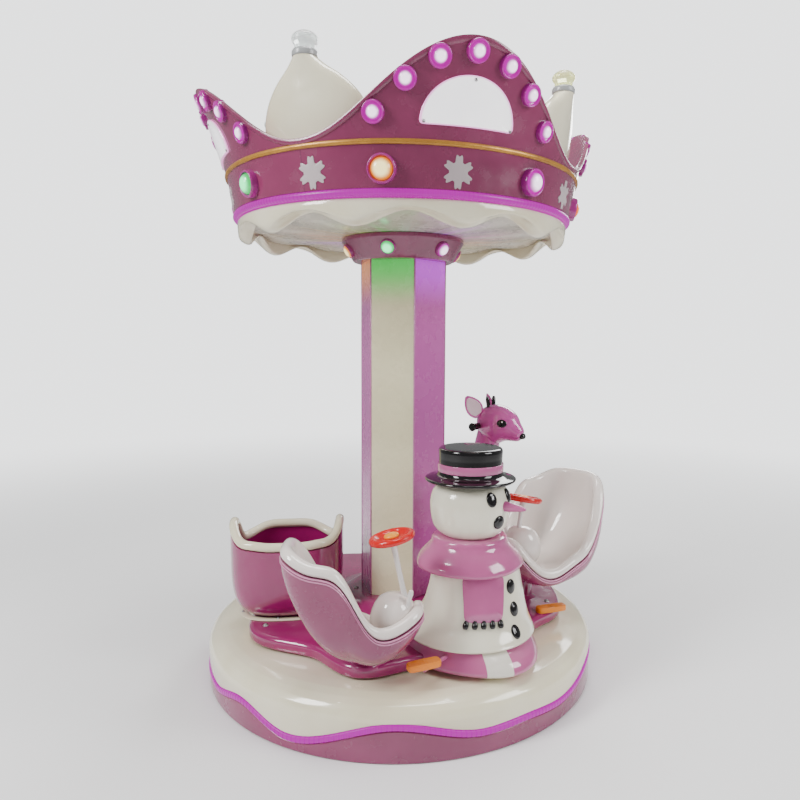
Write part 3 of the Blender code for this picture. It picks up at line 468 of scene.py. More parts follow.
# Bearing: the turned steel ring on which the star plate runs, set in the lid's round hole. The model's
# own solid, with lathe marks.
def turned_steel(name):
    """Lathe-turned steel: fine rings round the axis, from a wave texture on rings about Z."""
    material, tree, shader = blank_finish(name)
    place = own_place(tree)
    rings = tree.nodes.new("ShaderNodeTexWave")
    rings.wave_type = "RINGS"
    rings.rings_direction = "Z"
    wired(rings, {"Vector": place, "Scale": 260.0, "Distortion": 0.4})
    groove = rings.outputs["Fac"]
    stained = mixed(tree, noise(tree, place, 30.0, 4.0), (0.52, 0.52, 0.53, 1), (0.36, 0.35, 0.34, 1))
    wired(shader, {"Base Color": stained, "Roughness": ranged(tree, groove, 0.0, 1.0, 0.28, 0.46),
                   "Normal": raised(tree, groove, 0.2, 0.0005), "Metallic": 1.0})
    return material


def refinished(node, material):
    """Gives one of the model's own solids a finish."""
    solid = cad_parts[node]
    for holder in solid.material_slots:
        holder.material = material


steel = turned_steel("turned_steel")
refinished("turntable_bearing", steel)


# Star plate: the magenta glass fibre turntable, an uneven star whose arms reach under the seats, with a
# raised hub for the column and the three posts moulded on. Screwed to the bearing from above.
STAR_OUTLINE = np.array([
    (5, 0.550), (33, 0.560), (55, 0.475), (78, 0.545), (112, 0.465), (150, 0.550), (183, 0.480), (205, 0.500),
    (227, 0.545), (252, 0.487), (272, 0.548), (293, 0.484), (321, 0.552), (345, 0.490), (365, 0.550)], float)
STAR_LOW = 0.176
STAR_TOP = 0.215
HUB_INNER = 0.100
HUB_TOP = 0.250
MAGENTA = (0.33, 0.007, 0.130, 1)
MAGENTA_DEEP = (0.23, 0.005, 0.088, 1)
SEATS = {
    "front": {"where": (0.018, -0.563, 0.000, 15.0), "length": 0.190, "width": 0.118, "reach": 0.000,
              "wheel_level": 0.580, "keel": (0.030, 0.045), "fullness": 2.4},
    "right": {"where": (0.490, 0.078, 0.070, 238.0), "length": 0.222, "width": 0.150, "reach": 0.024,
              "wheel_level": 0.517, "keel": (0.035, -0.060), "fullness": 3.1},
}
SEAT_FLOOR = 0.228
DEER_WHERE = (0.085, 0.500, 0.0, -22.0)
magenta_gelcoat = gelcoat("magenta_gelcoat", MAGENTA, MAGENTA_DEEP, low=0.10, high=0.26, coat=0.8, bump=0.07,
                          dust=0.07)
star_edge = stepped(STAR_OUTLINE, np.degrees(base_angles))
star_rows = hoops([
    (HUB_INNER, STAR_LOW), (star_edge - 0.004, STAR_LOW), (star_edge, STAR_LOW + 0.006),
    (star_edge, STAR_TOP - 0.008), (star_edge - 0.010, STAR_TOP), (0.262, STAR_TOP),
    (0.236, STAR_TOP + 0.004), (0.186, HUB_TOP - 0.004), (0.172, HUB_TOP), (HUB_INNER, HUB_TOP)],
    base_angles)
fitted(lofted("star_turntable", filleted(star_rows, 0.006, closed=False)), magenta_gelcoat, "magenta",
       "star_plate")


def placed(points, x, y, z=0.0, turn=0.0):
    """Points turned about the vertical by an angle in degrees, then moved."""
    angle = np.radians(turn)
    c, s = np.cos(angle), np.sin(angle)
    points = np.asarray(points, float)
    moved = points @ np.array([(c, s, 0), (-s, c, 0), (0, 0, 1)])
    return moved + np.array((x, y, z))


post_angles = turns(32)
pedestals = []
for spot in SEATS.values():
    foot_x, foot_y, lift = placed([(*spot["keel"], 0.0)], *spot["where"])[0]
    top = SEAT_FLOOR + lift + 0.004
    pedestal = hoops([(0.046, STAR_TOP - 0.010), (0.044, STAR_TOP), (0.030, STAR_TOP + 0.008),
                      (0.027, top - 0.003), (0.027, top)], post_angles)
    pedestals.append(filleted(pedestal, 0.004, closed=False) + np.array((foot_x, foot_y, 0.0)))
deer_post = hoops([(0.034, STAR_TOP - 0.010), (0.032, STAR_TOP), (0.018, STAR_TOP + 0.010), (0.0155, 0.325),
                   (0.0155, 0.335)], post_angles)
pedestals.append(filleted(deer_post, 0.004, closed=False) + np.array(DEER_WHERE[:3]))
fitted(lofted("seat_pedestals", pedestals), magenta_gelcoat, "magenta")


# Star plate screws: domed stainless heads on thin washers that hold the plate to the bearing's frame,
# one near each arm's tip and six round the hub.
STAR_SCREW_AZIMUTHS = np.array([33.0, 78.0, 150.0, 227.0, 5.0])
STAR_SCREW_INSET = 0.045
HUB_SCREW_RADIUS = 0.163


def unit(vectors):
    """Vectors at length one."""
    return vectors / np.linalg.norm(vectors, axis=-1, keepdims=True)


def on_axes(shape, places, aims):
    """Copies of a grid with its own +Z along each aim: place + x across + y along + z aim."""
    aims = unit(np.asarray(aims, float))
    helper = np.where(np.abs(aims[:, 2:]) > 0.9, np.array([(1.0, 0, 0)]), np.array([(0, 0, 1.0)]))
    across = unit(np.cross(helper, aims))
    along = np.cross(aims, across)
    axes = np.stack([across, along, aims], axis=1)
    return np.einsum("rcd,nde->nrce", shape, axes) + np.asarray(places, float)[:, None, None, :]


def dome_screws(name, places, aims, radius):
    """Domed heads at the places, each along its own aim: a washer ring under a cap whose height follows
    a quarter ellipse, with a shallow dish for the driver."""
    share = np.array([1.30, 1.30, 1.05, 1.0, 0.92, 0.72, 0.45, 0.40, 0.20])[:, None]
    rise = np.array([-0.3, 0.14, 0.18, 0.30, 0.52, 0.72, 0.80, 0.58, 0.56])[:, None]
    return lofted(name, on_axes(polar(radius * share, turns(12), radius * rise), places, aims))


tip_reach = stepped(STAR_OUTLINE, STAR_SCREW_AZIMUTHS) - STAR_SCREW_INSET
screw_places = np.concatenate([polar(tip_reach, np.radians(STAR_SCREW_AZIMUTHS), STAR_TOP),
                               polar(HUB_SCREW_RADIUS, turns(6, 30.0), HUB_TOP)])
fitted(dome_screws("star_screws", screw_places, [(0, 0, 1)] * len(screw_places), 0.007), steel, "steel")


# Column: the six-sided housing, panels in white and pink in turn, joined at the corners with a thin
# shadow line. The capital lamps' light on its upper end is painted: their colours are mixed into the
# surface colour there and given off as emission. The model's own solid.
CAPITAL_BOTTOM = 1.365
COLUMN_WHITE = (0.78, 0.72, 0.48, 1)
COLUMN_SHADE = (0.66, 0.60, 0.38, 1)
COLUMN_PINK = (0.50, 0.10, 0.37, 1)
COLUMN_JOINT = (0.10, 0.03, 0.06, 1)
SPILL_COLOURS = [(0.85, 0.30, 0.06, 1), (0.0, 0.62, 0.06, 1), (0.62, 0.05, 0.85, 1)] * 2


def spill_ramp(tree, share_of_turn, blend):
    """Colour of the nearest capital lamp by the share of a turn, in steps or blended."""
    ramp = tree.nodes.new("ShaderNodeValToRGB")
    ramp.color_ramp.interpolation = blend
    stops = ramp.color_ramp.elements
    shift = 0.0 if blend == "CONSTANT" else 1 / 12
    for k, colour in enumerate(SPILL_COLOURS):
        stop = stops[k] if k < 2 else stops.new(k / 6 + shift)
        stop.position = k / 6 + shift
        stop.color = colour
    wired(ramp, {"Fac": share_of_turn})
    return ramp.outputs["Color"]


def column_pattern(tree, base):
    """Six faces by the angle round the axis: every second one pink, with a dark joint at each corner. At
    the top, painted light: the colour of the nearest capital lamp, mixed in and given off as emission.
    """
    place = own_place(tree)
    share_of_turn = turn_share(tree, place)
    sixth = product(tree, share_of_turn, 6.0)
    odd = calculated(tree, "LESS_THAN", calculated(tree, "MODULO", sixth, 2.0), 1.0)
    joint = ranged(tree, calculated(tree, "PINGPONG", sixth, 0.5), 0.004, 0.014, 0.8, 0.0)
    faced = mixed(tree, joint, mixed(tree, odd, base, COLUMN_PINK), COLUMN_JOINT)
    height = part_of(tree, place, "Z")
    # Painted light: the capital lamps' colours, laid on the column's top 16 cm as colour and emission.
    near_lamp = ranged(tree, height, CAPITAL_BOTTOM - 0.16, CAPITAL_BOTTOM - 0.01, 0.0, 1.0)
    spill = spill_ramp(tree, share_of_turn, "CONSTANT")
    wired(tree.nodes["Principled BSDF"],
          {"Emission Color": mixed(tree, near_lamp, BLACK, spill), "Emission Strength": 0.55})
    return mixed(tree, product(tree, near_lamp, 0.8), faced, spill)


refinished("column", gelcoat("column_paint", COLUMN_WHITE, COLUMN_SHADE, low=0.20, high=0.38, coat=0.4,
                             scuff_level=0.7, pattern=column_pattern))


# Column corner strips: thin pink extrusions that cover the joints between the panels, pushed on from
# the front after the panels are in.
COLUMN_RADIUS = 0.1474
STRIP_SUNK = 0.0012
trim_pink = gelcoat("trim_pink", (0.50, 0.17, 0.36, 1), (0.42, 0.12, 0.29, 1), low=0.18)
strip_levels = np.array([HUB_TOP + 0.0005, HUB_TOP + 0.002, CAPITAL_BOTTOM - 0.002, CAPITAL_BOTTOM - 0.0005])
strip_radii = np.array([0.0022, 0.0030, 0.0030, 0.0022])
corners = polar(COLUMN_RADIUS - STRIP_SUNK, turns(6), 0.0)
corner_strips = corners[:, None, None] + polar(strip_radii[:, None], turns(10), strip_levels[:, None])
fitted(lofted("column_corner_strips", corner_strips), trim_pink, "panel_white")


# Capital: the rose cone that carries the crown and holds six small lamps, one over each column face.
# A glass fibre moulding slipped over the column's head.
CAPITAL_TOP = 1.440
capital_rows = hoops([(0.120, CAPITAL_BOTTOM), (0.165, CAPITAL_BOTTOM), (0.171, CAPITAL_BOTTOM + 0.008),
                      (0.205, CAPITAL_TOP - 0.012), (0.205, CAPITAL_TOP), (0.120, CAPITAL_TOP)], turns(180))
fitted(lofted("capital_cone", filleted(capital_rows, 0.004, closed=False)), rose_gelcoat, "rose", "capital")


# Capital lamps: a moulded cup with a rolled lip and, inside it, a domed lens lit from behind, white-hot
# in the middle and full colour at its edge. Each clips into a hole of the cone.
CAPITAL_LAMP_AZIMUTHS = np.radians([-89.6, -33.0, 30.0, 90.0, 150.0, -146.0])
CAPITAL_LAMP_COLOURS = ["green", "magenta", "warm", "green", "magenta", "warm"]
CAPITAL_LAMP_LEVEL = 1.397
CONE_FLARE = 0.62
LENS_TURNS = turns(24)
CUP_TURNS = turns(32)


def rim_share(tree):
    """How near a point lies to the rim of its own piece, as written on the mesh."""
    node = tree.nodes.new("ShaderNodeAttribute")
    node.attribute_name = "rim_share"
    return node.outputs["Fac"]


def write_share(mesh, shares):
    """Writes a value for each point as the attribute rim_share."""
    mesh.attributes.new("rim_share", "FLOAT", "POINT").data.foreach_set("value", shares.astype(np.float32))


def write_row_share(mesh, row_shares, columns, copies):
    """Writes rim_share row by row: 1 at the middle of the first row's fan and 0 at the last row's."""
    shares = np.tile(np.repeat(row_shares, columns), copies)
    write_share(mesh, np.concatenate([shares, np.ones(copies), np.zeros(copies)]))


def lens_glow(name, core, edge, strength):
    """Lit lens: the colour goes from core to edge with rim_share, through fine moulded rings."""
    material, tree, shader = blank_finish(name)
    share = rim_share(tree)
    cloud = noise(tree, own_place(tree), 90.0, 2.0)
    spread = calculated(tree, "ADD", share, product(tree, cloud, 0.08))
    glow = mixed(tree, ranged(tree, spread, 0.50, 0.98, 0.0, 1.0), core, edge)
    rings = calculated(tree, "PINGPONG", product(tree, share, 7.0), 0.5)
    wired(shader, {"Base Color": mixed(tree, 0.8, glow, (0.02, 0.02, 0.02, 1)), "Emission Color": glow,
                   "Roughness": ranged(tree, cloud, 0.3, 0.7, 0.08, 0.20),
                   "Normal": raised(tree, rings, 0.35, 0.001),
                   "Emission Strength": strength, "Coat Weight": 0.6})
    return material


GLOWS = {
    "magenta": lens_glow("magenta_lens", (1.0, 0.80, 1.0, 1), (0.26, 0.0, 0.21, 1), 2.6),
    "green": lens_glow("green_lens", (0.10, 1.0, 0.36, 1), (0.0, 0.30, 0.05, 1), 3.0),
    "warm": lens_glow("warm_lens", (1.0, 0.82, 0.36, 1), (0.50, 0.13, 0.0, 1), 2.3),
    "orange": lens_glow("orange_lens", (1.0, 0.30, 0.03, 1), (0.70, 0.05, 0.0, 1), 1.8),
}


def lens_mesh(name, places, aims, radius, rise):
    """Domes at the places: radius times sin t across and rise times cos t up, from the rim, t = 90
    degrees, to the crown, with a straight skirt below. Writes how far out each point lies."""
    t = np.radians(np.linspace(90, 6, 9))
    out = np.concatenate([[1.0], np.sin(t)])
    up = np.concatenate([[-0.5], np.cos(t)])
    mesh = lofted(name, on_axes(polar(radius * out[:, None], LENS_TURNS, rise * up[:, None]), places, aims))
    write_row_share(mesh, out, len(LENS_TURNS), len(places))
    return mesh


def lenses_by_colour(name, colours, places, aims, radius, rise):
    """One piece of lenses for each colour in the list."""
    for colour in sorted(set(colours)):
        chosen = [k for k, shade in enumerate(colours) if shade == colour]
        lenses = lens_mesh(name + colour, places[chosen], aims[chosen], radius, rise)
        fitted(lenses, GLOWS[colour], "lamp_panel")


def cup_grid(radius, depth):
    """Section of a lamp cup carried round its axis: out of the wall, a rolled lip, then down inside."""
    section = np.array([(0.50, -0.8), (0.97, -0.8), (1.0, 0.0), (0.97, 0.75), (0.93, 1.0), (0.86, 1.03),
                        (0.81, 0.92), (0.76, 0.45), (0.50, 0.35)])
    return filleted(hoops(section * (radius, depth), CUP_TURNS), radius * 0.05, steps=3)


capital_aims = unit(polar(1.0, CAPITAL_LAMP_AZIMUTHS, -CONE_FLARE))
cone_radius = 0.171 + (CAPITAL_LAMP_LEVEL - CAPITAL_BOTTOM - 0.008) * CONE_FLARE
capital_places = polar(cone_radius, CAPITAL_LAMP_AZIMUTHS, CAPITAL_LAMP_LEVEL)
cup_rose = gelcoat("cup_rose", (0.42, 0.03, 0.26, 1), (0.30, 0.02, 0.18, 1), low=0.12, high=0.28, dust=0.05)
fitted(lofted("capital_lamp_cups", on_axes(cup_grid(0.026, 0.008), capital_places, capital_aims), wrap=True),
       cup_rose, "rose")
lenses_by_colour("capital_lenses_", CAPITAL_LAMP_COLOURS, capital_places + capital_aims * 0.004, capital_aims,
                 0.0215, 0.012)


# Crown underside: white ceiling of the crown, pleated like settled snow, the pleats starting flat at the
# capital and deepening to the hem. Bonded inside the skirt.
HEM_WAVES = 11
HEM_CREST = np.radians(-73.0)
CEILING_INNER = 0.180
CEILING_OUTER = 0.4975
CROWN_JOINT = 1.4765
crown_angles = turns(396)
pleat = np.cos(HEM_WAVES * (crown_angles - HEM_CREST))
under_rows = [(CEILING_INNER, 1.4405), (0.215, 1.4410)]
for radius in np.linspace(0.24, CEILING_OUTER, 14):
    share = (radius - 0.20) / 0.30
    fold = np.sign(pleat) * np.abs(pleat) ** 0.7
    under_rows.append((radius, 1.4415 + 0.016 * share ** 1.5 + 0.007 * share * fold))
under_rows += [(CEILING_OUTER, CROWN_JOINT), (CEILING_INNER, CROWN_JOINT)]


def ceiling_pattern(tree, base):
    """Painted light of the capital's lamps on the ceiling: their colours by angle, in rays that fade
    outwards, mixed into the colour and given off as emission.
    """
    place = own_place(tree)
    share_of_turn = turn_share(tree, place)
    flat = tree.nodes.new("ShaderNodeVectorMath")
    flat.operation = "MULTIPLY"
    wired(flat, {0: place, 1: (1, 1, 0)})
    turned = tree.nodes.new("ShaderNodeCombineXYZ")
    wired(turned, {"X": product(tree, share_of_turn, 46.0)})
    rays = ranged(tree, noise(tree, turned.outputs["Vector"], 1.0, 3.0), 0.38, 0.66, 0.25, 1.0)
    fade = ranged(tree, length_of(tree, flat.outputs["Vector"]), 0.20, 0.44, 1.0, 0.0)
    # Painted light: where the lamps' rays fall, their colour is mixed in and glows.
    lit = product(tree, rays, fade)
    spill = spill_ramp(tree, share_of_turn, "LINEAR")
    wired(tree.nodes["Principled BSDF"],
          {"Emission Color": mixed(tree, lit, BLACK, spill), "Emission Strength": 0.28})
    return mixed(tree, product(tree, lit, 0.35), base, spill)


ceiling_white = gelcoat("ceiling_white", (0.62, 0.58, 0.47, 1), (0.50, 0.46, 0.36, 1), low=0.2, high=0.4,
                        coat=0.3, pattern=ceiling_pattern)
fitted(lofted("crown_ceiling", hoops(under_rows, crown_angles), wrap=True), ceiling_white, "snow_white",
       "crown_underside")


# Snow skirt: thick white snow that hangs over the crown's lower edge in eleven waves, hollow behind,
# with a fat rolled hem. One moulding, screwed up under the light ring.
HEM_LEVEL = 1.430
HEM_SWING = 0.021
hem = HEM_LEVEL + HEM_SWING * pleat
lean_out = 0.004 * pleat
skirt_section = [
    (0.499, CROWN_JOINT), (0.499, 1.455), (0.490 - lean_out, hem + 0.006), (0.494 - lean_out, hem + 0.0005),
    (0.502 - lean_out, hem - 0.001), (0.513 - lean_out, hem + 0.002), (0.526 - lean_out, hem + 0.011),
    (0.533 - 0.5 * lean_out, 0.5 * hem + 0.5 * 1.452), (0.537, 1.456), (0.5375, 1.468), (0.535, CROWN_JOINT)]
fitted(lofted("snow_hem", filleted(hoops(skirt_section, crown_angles), 0.006), wrap=True), snow_gelcoat,
       "snow_white", "snow_skirt")


# Crown light ring: the same kind of magenta light tube as on the base, pressed into the joint between
# the snow skirt and the crown wall.
CROWN_BOTTOM = 1.477
CROWN_RADIUS = 0.546
RING_INNER = 0.500
RING_TOP = CROWN_BOTTOM + 0.0197
RING_POINTS = 264
ring_section = [(RING_INNER, CROWN_BOTTOM), (CROWN_RADIUS - 0.002, CROWN_BOTTOM),
                (CROWN_RADIUS + 0.004, CROWN_BOTTOM + 0.005), (CROWN_RADIUS + 0.005, CROWN_BOTTOM + 0.014),
                (CROWN_RADIUS, RING_TOP), (RING_INNER, RING_TOP)]
fitted(lofted("crown_light_tube", filleted(hoops(ring_section, crown_angles), 0.004), wrap=True),
       light_tube("crown_light_glow", RING_POINTS), "strip_light", "crown_light_ring")


# Crown wall: four dusty pink arches that flare outwards, moulded in one skin 12 mm thick with a lip
# along its edge, and with a fine joint line where two arches meet in the valleys.
ARCH_AZIMUTH = -58.3
ARCH_AZIMUTHS = ARCH_AZIMUTH + 90.0 * np.arange(4)
VALLEY_LEVEL = 1.628
ARCH_LEVEL = 1.845
CROWN_WALL = 0.012
WALL_BOTTOM = 1.497
ARCH_LIP = [(0.0165, 0.0), (0.0150, 0.0030), (0.0110, 0.0045), (0.0050, 0.0040)]


def crown_radius(level):
    """Outer radius of the crown wall: 546 mm, plus 0.115 of the rise, plus half the rise squared."""
    rise = np.maximum(level - CROWN_BOTTOM - 0.010, 0.0)
    return CROWN_RADIUS + 0.115 * rise + 0.50 * rise * rise


def valley_joints(tree, base):
    """A thin shadow line in each of the four valleys, by the angle round the axis."""
    centred = tree.nodes.new("ShaderNodeMapping")
    wired(centred, {"Vector": own_place(tree), "Rotation": (0, 0, np.radians(-ARCH_AZIMUTH + 45.0))})
    quarter = product(tree, turn_share(tree, centred.outputs["Vector"]), 4.0)
    joint = ranged(tree, calculated(tree, "PINGPONG", quarter, 0.5), 0.0008, 0.0022, 0.7, 0.0)
    return mixed(tree, joint, base, (0.12, 0.03, 0.07, 1))


wall_angles = turns(480, ARCH_AZIMUTH)
arch_swing = 0.5 + 0.5 * np.cos(4 * (wall_angles - np.radians(ARCH_AZIMUTH)))
arch_top = VALLEY_LEVEL + (ARCH_LEVEL - VALLEY_LEVEL) * arch_swing ** 1.05
wall_levels = [WALL_BOTTOM + (arch_top - WALL_BOTTOM) * share for share in np.linspace(0.0, 0.86, 16)]
crest = crown_radius(arch_top)
wall_section = [(crown_radius(level), level) for level in wall_levels]
wall_section += [(crown_radius(arch_top - drop) + lip, arch_top - drop) for drop, lip in ARCH_LIP]
wall_section += [(crest + 0.0015, arch_top - 0.0010), (crest - 0.003, arch_top), (crest - 0.009, arch_top),
                 (crest - CROWN_WALL + 0.0005, arch_top - 0.002)]
wall_section += [(crown_radius(level) - CROWN_WALL, level) for level in wall_levels[::-1]]
crown_rose = gelcoat("crown_rose", (0.245, 0.038, 0.105, 1), (0.18, 0.026, 0.075, 1), pattern=valley_joints)
fitted(lofted("crown_arches", hoops(wall_section, wall_angles), wrap=True), crown_rose, "rose",
       "crown_panel_1", "crown_panel_2", "crown_panel_3", "crown_panel_4")


# Crown deck: the closed glass fibre lid inside the arches, on which the snow peaks stand. The model's
# own solid, in the same gelcoat as the base skirt.
refinished("crown_deck", rose_gelcoat)


# Gold stripe: a half-round bead moulded round the wall under the arches and painted satin gold with a
# brush.
STRIPE_LEVEL = 1.608
STRIPE_HALF = 0.0068


def gold_paint(name):
    """Satin gold paint: brushed on, so colour and gloss drift in soft streaks round the bead."""
    material, tree, shader = blank_finish(name)
    place = own_place(tree)
    drift = noise(tree, place, 14.0, 5.0, 0.6)
    grain = noise(tree, place, 420.0, 2.0)
    streak = ranged(tree, drift, 0.3, 0.7, 0.0, 1.0)
    wired(shader, {"Base Color": mixed(tree, streak, (0.60, 0.30, 0.045, 1), (0.40, 0.17, 0.03, 1)),
                   "Roughness": ranged(tree, grain, 0.3, 0.7, 0.26, 0.46),
                   "Metallic": ranged(tree, drift, 0.3, 0.7, 0.55, 0.25),
                   "Normal": raised(tree, grain, 0.15, 0.001)})
    return material


stripe_radius = crown_radius(STRIPE_LEVEL)
stripe_section = [(stripe_radius + 0.001 + 0.0045 * np.cos(bend), STRIPE_LEVEL + STRIPE_HALF * np.sin(bend))
                  for bend in np.radians(np.linspace(-90, 90, 9))]
stripe_section += [(stripe_radius - 0.002, STRIPE_LEVEL + STRIPE_HALF),
                   (stripe_radius - 0.002, STRIPE_LEVEL - STRIPE_HALF)]
fitted(lofted("gold_bead", hoops(stripe_section, wall_angles), wrap=True), gold_paint("gold_paint"), "gold",
       "gold_stripe")


# Crown lamps: two large ones on each arch's band and seven smaller ones along its edge. Cups are rose
# plastic, clipped into holes of the wall; on those of the magenta lamps the lens's light is painted as
# a glow.
BAND_LAMPS = np.array([(-22.2, 1.543), (22.8, 1.543)])
BAND_COLOURS = ["warm", "magenta", "orange", "green", "magenta", "warm", "magenta", "green"]
ARCH_LAMPS = np.array([(-24.0, 1.674), (-16.2, 1.746), (-8.5, 1.795), (0.0, 1.814), (8.5, 1.795),
                       (16.2, 1.746), (24.0, 1.674)])


def wall_seats(seats, proud=0.0):
    """Places on all four arches and their outward aims, square to the wall's slope, from (azimuth off the
    arch's middle, level) rows."""
    azimuths = np.radians((ARCH_AZIMUTHS[:, None] + seats[:, 0]).ravel())
    levels = np.tile(seats[:, 1], 4)
    slope = (crown_radius(levels + 0.01) - crown_radius(levels - 0.01)) / 0.02
    aims = unit(polar(1.0, azimuths, -slope))
    return polar(crown_radius(levels), azimuths, levels) + aims * proud, aims


def cup_glow(name):
    """Rose cup with the lens's light painted on: an emission that fades from the lens to the wall with
    rim_share.
    """
    material = gelcoat(name, (0.22, 0.006, 0.13, 1), (0.16, 0.005, 0.10, 1), low=0.12, high=0.3, dust=0.04)
    tree = material.node_tree
    # Painted light: a magenta glow on the cup, strongest next to the lens.
    lit = ranged(tree, rim_share(tree), 0.0, 1.0, 0.0, 1.0)
    wired(tree.nodes["Principled BSDF"],
          {"Emission Color": mixed(tree, lit, (0.12, 0.0, 0.08, 1), (0.85, 0.0, 0.68, 1)),
           "Emission Strength": 0.5})
    return material


def lit_cups(name, radius, depth, places, aims):
    """Lamp cups whose rim_share is 1 inside the lip and falls to 0.12 at the wall."""
    grid = cup_grid(radius, depth)
    mesh = lofted(name, on_axes(grid, places, aims), wrap=True)
    across = np.hypot(grid[..., 0], grid[..., 1]) / radius
    write_share(mesh, np.tile(np.clip((1.0 - across) / 0.15, 0.12, 1.0).ravel(), len(places)))
    return mesh


glowing_cup = cup_glow("glowing_cup")
band_places, band_aims = wall_seats(BAND_LAMPS)
for cup_name, finish, lit in (("band_cups_lit", glowing_cup, True), ("band_cups_plain", cup_rose, False)):
    chosen = [k for k, shade in enumerate(BAND_COLOURS) if (shade == "magenta") == lit]
    fitted(lit_cups(cup_name, 0.039, 0.019, band_places[chosen], band_aims[chosen]), finish, "rose")
lenses_by_colour("band_lenses_", BAND_COLOURS, band_places + band_aims * 0.011, band_aims, 0.0285, 0.020)
edge_places, edge_aims = wall_seats(ARCH_LAMPS)
fitted(lit_cups("arch_lamp_cups", 0.030, 0.012, edge_places, edge_aims), glowing_cup, "rose")
fitted(lens_mesh("arch_lenses", edge_places + edge_aims * 0.005, edge_aims, 0.0190, 0.015), GLOWS["magenta"],
       "lamp_panel")


# Half-moon light panels: opal acrylic half discs over a lit box, one on each arch, with a bright flat
# field, a pink-lit rolled border and three screws.
MOON_LOW = 1.648
MOON_RISE = 0.114
MOON_HALF_ANGLE = 12.8
MOON_MIDDLE = 0.42
MOON_ARC_SHARE = 0.62
MOON_POINTS = 96
MOON_ROWS = [(0.97, -0.0010), (1.0, 0.0010), (1.0, 0.0042), (0.985, 0.0058), (0.965, 0.0060), (0.945, 0.0050),
             (0.93, 0.0042), (0.70, 0.0052), (0.35, 0.0060), (0.08, 0.0062)]
MOON_SCREWS = np.array([(-11.6, 1.655), (0.4, 1.7545), (11.9, 1.6535)])


def softened(values, rounds):
    """Takes the kinks out of values round a closed outline: each becomes a quarter, a half and a quarter
    of its neighbours and itself, so many rounds."""
    for _ in range(rounds):
        values = (np.roll(values, 1) + 2 * values + np.roll(values, -1)) / 4
    return values


along_moon = np.linspace(0, 1, MOON_POINTS, endpoint=False)
on_arc = along_moon < MOON_ARC_SHARE
arc = np.pi * np.clip(along_moon / MOON_ARC_SHARE, 0, 1)
base_share = np.clip((along_moon - MOON_ARC_SHARE) / (1 - MOON_ARC_SHARE), 0, 1)
moon_across = softened(np.where(on_arc, np.cos(arc), -1 + 2 * base_share), 3)
moon_up = softened(np.where(on_arc, np.sin(arc), 0.0), 3)
moon_grids = []
for azimuth in ARCH_AZIMUTHS:
    grid = []
    for share, proud in MOON_ROWS:
        level = MOON_LOW + MOON_RISE * (MOON_MIDDLE + (moon_up - MOON_MIDDLE) * share)
        angle = np.radians(azimuth + MOON_HALF_ANGLE * moon_across * share)
        grid.append(polar(crown_radius(level) + proud, angle, level))
    moon_grids.append(grid)
moon_mesh = lofted("half_moon_panels", moon_grids)
write_row_share(moon_mesh, [share for share, proud in MOON_ROWS], MOON_POINTS, len(ARCH_AZIMUTHS))
moon_opal, tree, shader = blank_finish("opal_panel")
haze = noise(tree, own_place(tree), 12.0, 3.0)
field = mixed(tree, ranged(tree, haze, 0.3, 0.7, 0.0, 1.0), (1.0, 0.98, 1.0, 1), (0.95, 0.93, 0.97, 1))
opal = mixed(tree, ranged(tree, rim_share(tree), 0.925, 0.975, 0.0, 1.0), field, (0.90, 0.38, 0.74, 1))
wired(shader, {"Base Color": opal, "Emission Color": opal, "Emission Strength": 1.15, "Coat Weight": 0.5,
               "Roughness": ranged(tree, haze, 0.3, 0.7, 0.12, 0.26)})
fitted(moon_mesh, moon_opal, "lamp_panel", "half_moon_1", "half_moon_2", "half_moon_3", "half_moon_4")
fitted(dome_screws("half_moon_screws", *wall_seats(MOON_SCREWS, 0.0058), 0.0034), steel, "steel")


# Snowflakes: thin white plastic flakes with six forked arms, cut from sheet and bonded to the band
# between the lamps.
FLAKE_AZIMUTHS = np.radians([-100.3, -59.9, -15.4, 31.7, 76.7, 121.7, 166.7, -148.3])
FLAKE_LEVEL = 1.541
FLAKE_ROWS = [(0.97, -0.0008), (1.0, 0.0004), (0.985, 0.0014), (0.9, 0.0018), (0.5, 0.0018), (0.12, 0.0018)]
flake_turns = turns(144)
flake_edge = 0.0340 + 0.0085 * np.cos(6 * flake_turns) - 0.0022 * np.cos(12 * flake_turns)
flake_edge -= 0.0024 * np.cos(18 * flake_turns)
flake_grids = []
for azimuth in FLAKE_AZIMUTHS:
    grid = []
    for share, proud in FLAKE_ROWS:
        level = FLAKE_LEVEL + flake_edge * share * np.cos(flake_turns)
        angle = azimuth - flake_edge * share * np.sin(flake_turns) / crown_radius(FLAKE_LEVEL)
        grid.append(polar(crown_radius(level) + proud, angle, level))
    flake_grids.append(grid)
flake_white = gelcoat("flake_white", (0.52, 0.45, 0.46, 1), (0.40, 0.33, 0.35, 1), low=0.35, high=0.55,
                      coat=0.1)
fitted(lofted("snowflakes", flake_grids), flake_white, "snow_white")


# Snow peaks: four hollow white glass fibre peaks that stand behind the valleys, broad along the wall and
# thin across it, softly lumped like drifted snow. Bonded to the deck.
PEAK_HEIGHT = 0.248
PEAK_SECTIONS = np.array([
    (0.000, 0.486, 0.165, 0.048), (0.060, 0.488, 0.170, 0.050), (0.120, 0.500, 0.162, 0.050),
    (0.165, 0.512, 0.135, 0.045), (0.200, 0.524, 0.098, 0.038), (0.228, 0.534, 0.057, 0.033),
    (PEAK_HEIGHT, 0.540, 0.033, 0.031)])
PEAK_FOOT = 1.5903
PEAK_AZIMUTHS = ARCH_AZIMUTHS - 45.0


def eased(places, sizes, value):
    """Cubic curve through the sizes, with each slope taken from the neighbouring sizes, read at a value
    between the places."""
    slopes = np.gradient(sizes, places)
    k = np.clip(np.searchsorted(places, value, side="right") - 1, 0, len(places) - 2)
    span = places[k + 1] - places[k]
    t = (value - places[k]) / span
    return ((2 * t ** 3 - 3 * t ** 2 + 1) * sizes[k] + (t ** 3 - 2 * t ** 2 + t) * span * slopes[k]
            + (3 * t ** 2 - 2 * t ** 3) * sizes[k + 1] + (t ** 3 - t ** 2) * span * slopes[k + 1])


